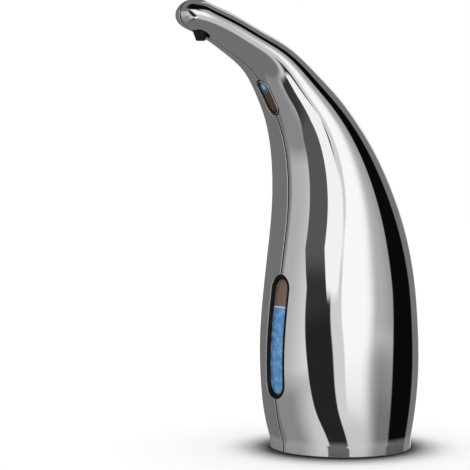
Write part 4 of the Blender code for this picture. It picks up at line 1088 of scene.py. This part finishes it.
def studio(cards):
    """A world of cards painted over each other, by the direction of the ray."""
    world = bpy.data.worlds.new("studio")
    world.use_nodes = True
    tree = world.node_tree
    place = node(tree, "ShaderNodeTexCoord")
    parts = node(tree, "ShaderNodeSeparateXYZ")
    tree.links.new(place.outputs["Generated"], parts.inputs["Vector"])
    x, y, z = parts.outputs
    forward = maths(tree, "MULTIPLY", y, -1.0)
    degrees = math.degrees(1)
    around = maths(tree, "MULTIPLY_ADD", maths(tree, "ARCTAN2", x, forward), degrees, -camera_azimuth)
    rise = maths(tree, "MULTIPLY", maths(tree, "ARCSINE", z), degrees)
    upper = maths(tree, "MAXIMUM", rise, 0.0)
    light = None
    for name, left, right, lean, soft_left, soft_right, bottom, top, soft_bottom, soft_top, tone in cards:
        leaning = rise if name.startswith("left flag") else upper
        turned = maths(tree, "MULTIPLY_ADD", leaning, lean, around)
        turned = maths(tree, "WRAP", turned, half_turn, -half_turn)
        sides = band(tree, turned, left, right, soft_left, soft_right)
        ends = band(tree, rise, bottom, top, soft_bottom, soft_top)
        card = node(tree, "ShaderNodeMix", label=name)
        tree.links.new(maths(tree, "MULTIPLY", sides, ends), card.inputs["Factor"])
        if light is None:
            card.inputs["A"].default_value = linear(background_tone)
        else:
            tree.links.new(light, card.inputs["A"])
        card.inputs["B"].default_value = linear(tone)
        light = card.outputs["Result"]
    path = node(tree, "ShaderNodeLightPath")
    for ray, value in (("Is Diffuse Ray", plain_light), ("Is Camera Ray", backdrop_light)):
        chosen = node(tree, "ShaderNodeMix", label=ray)
        tree.links.new(path.outputs[ray], chosen.inputs["Factor"])
        tree.links.new(light, chosen.inputs["A"])
        chosen.inputs["B"].default_value = value
        light = chosen.outputs["Result"]
    tree.links.new(light, tree.nodes["Background"].inputs["Strength"])
    tree.nodes["Background"].inputs["Color"].default_value = plain_white
    return world


bpy.context.scene.world = studio(cards)


# A small flag and a small white card side by side, where the hollow of the neck gathers its reflections

near_card_y = -130 * mm
near_card_left = -12 * mm
near_card_middle = 53 * mm
near_card_right = 135 * mm
near_card_foot = 84 * mm
near_card_bend = 120 * mm
near_card_top = 140 * mm
near_card_fade = 14 * mm
near_card_soft = 3 * mm
near_flag_tone = 86
near_flag_foot_tone = 50
near_flag_fade = 22 * mm
near_white_tone = 248


def near_finish():
    """Two glowing stripes, dark on the left and white on the right.

    Below the bend they lean to the right by as much as they fall, and they thin out at their foot.
    """
    material = bpy.data.materials.new("near_cards")
    material.use_nodes = True
    tree = material.node_tree
    tree.nodes.remove(tree.nodes["Principled BSDF"])
    x, _, z = object_place(tree)
    fallen = maths(tree, "MAXIMUM", maths(tree, "SUBTRACT", near_card_bend, z), 0.0)
    along = maths(tree, "SUBTRACT", x, fallen)
    upper = step(tree, z, near_card_bend - near_flag_fade / 2, near_flag_fade)
    foot_light = linear(near_flag_foot_tone)
    dark = maths(tree, "MULTIPLY_ADD", upper, linear(near_flag_tone) - foot_light, foot_light)
    white = step(tree, along, near_card_middle, near_card_soft)
    lit = maths(tree, "MAXIMUM", dark, maths(tree, "MULTIPLY", white, linear(near_white_tone)))
    light = node(tree, "ShaderNodeEmission")
    tree.links.new(lit, light.inputs["Strength"])
    left_edge = step(tree, along, near_card_left, near_card_soft)
    foot = step(tree, z, near_card_foot + near_card_fade / 2, near_card_fade)
    stripes = node(tree, "ShaderNodeMixShader")
    share, clear, shining = stripes.inputs
    tree.links.new(maths(tree, "MULTIPLY", left_edge, foot), share)
    tree.links.new(node(tree, "ShaderNodeBsdfTransparent").outputs["BSDF"], clear)
    tree.links.new(light.outputs["Emission"], shining)
    tree.links.new(stripes.outputs["Shader"], tree.nodes["Material Output"].inputs["Surface"])
    return material


near_left = near_card_left - near_card_soft
card = sheet("near_cards", [
    (near_left, near_card_y, near_card_foot), (near_card_right, near_card_y, near_card_foot),
    (near_card_right, near_card_y, near_card_top), (near_left, near_card_y, near_card_top),
], near_finish())
card.visible_camera = False
card.visible_diffuse = False
card.visible_shadow = False
card.visible_transmission = False


# Camera

camera_distance = 800 * mm
camera_height = 133 * mm
camera_yaw = 3.8
camera_pitch = -1.87
camera_lens = 121.7
camera_sensor = 36
turn = math.radians(camera_azimuth)
camera = bpy.data.objects.new("camera", bpy.data.cameras.new("camera"))
bpy.context.scene.collection.objects.link(camera)
camera.location = (camera_distance * math.sin(turn), -camera_distance * math.cos(turn), camera_height)
camera.rotation_euler = (math.radians(quarter_turn + camera_pitch), 0.0, turn + math.radians(camera_yaw))
camera.data.lens = camera_lens
camera.data.sensor_width = camera_sensor
bpy.context.scene.camera = camera
bpy.context.scene.view_settings.view_transform = "Standard"
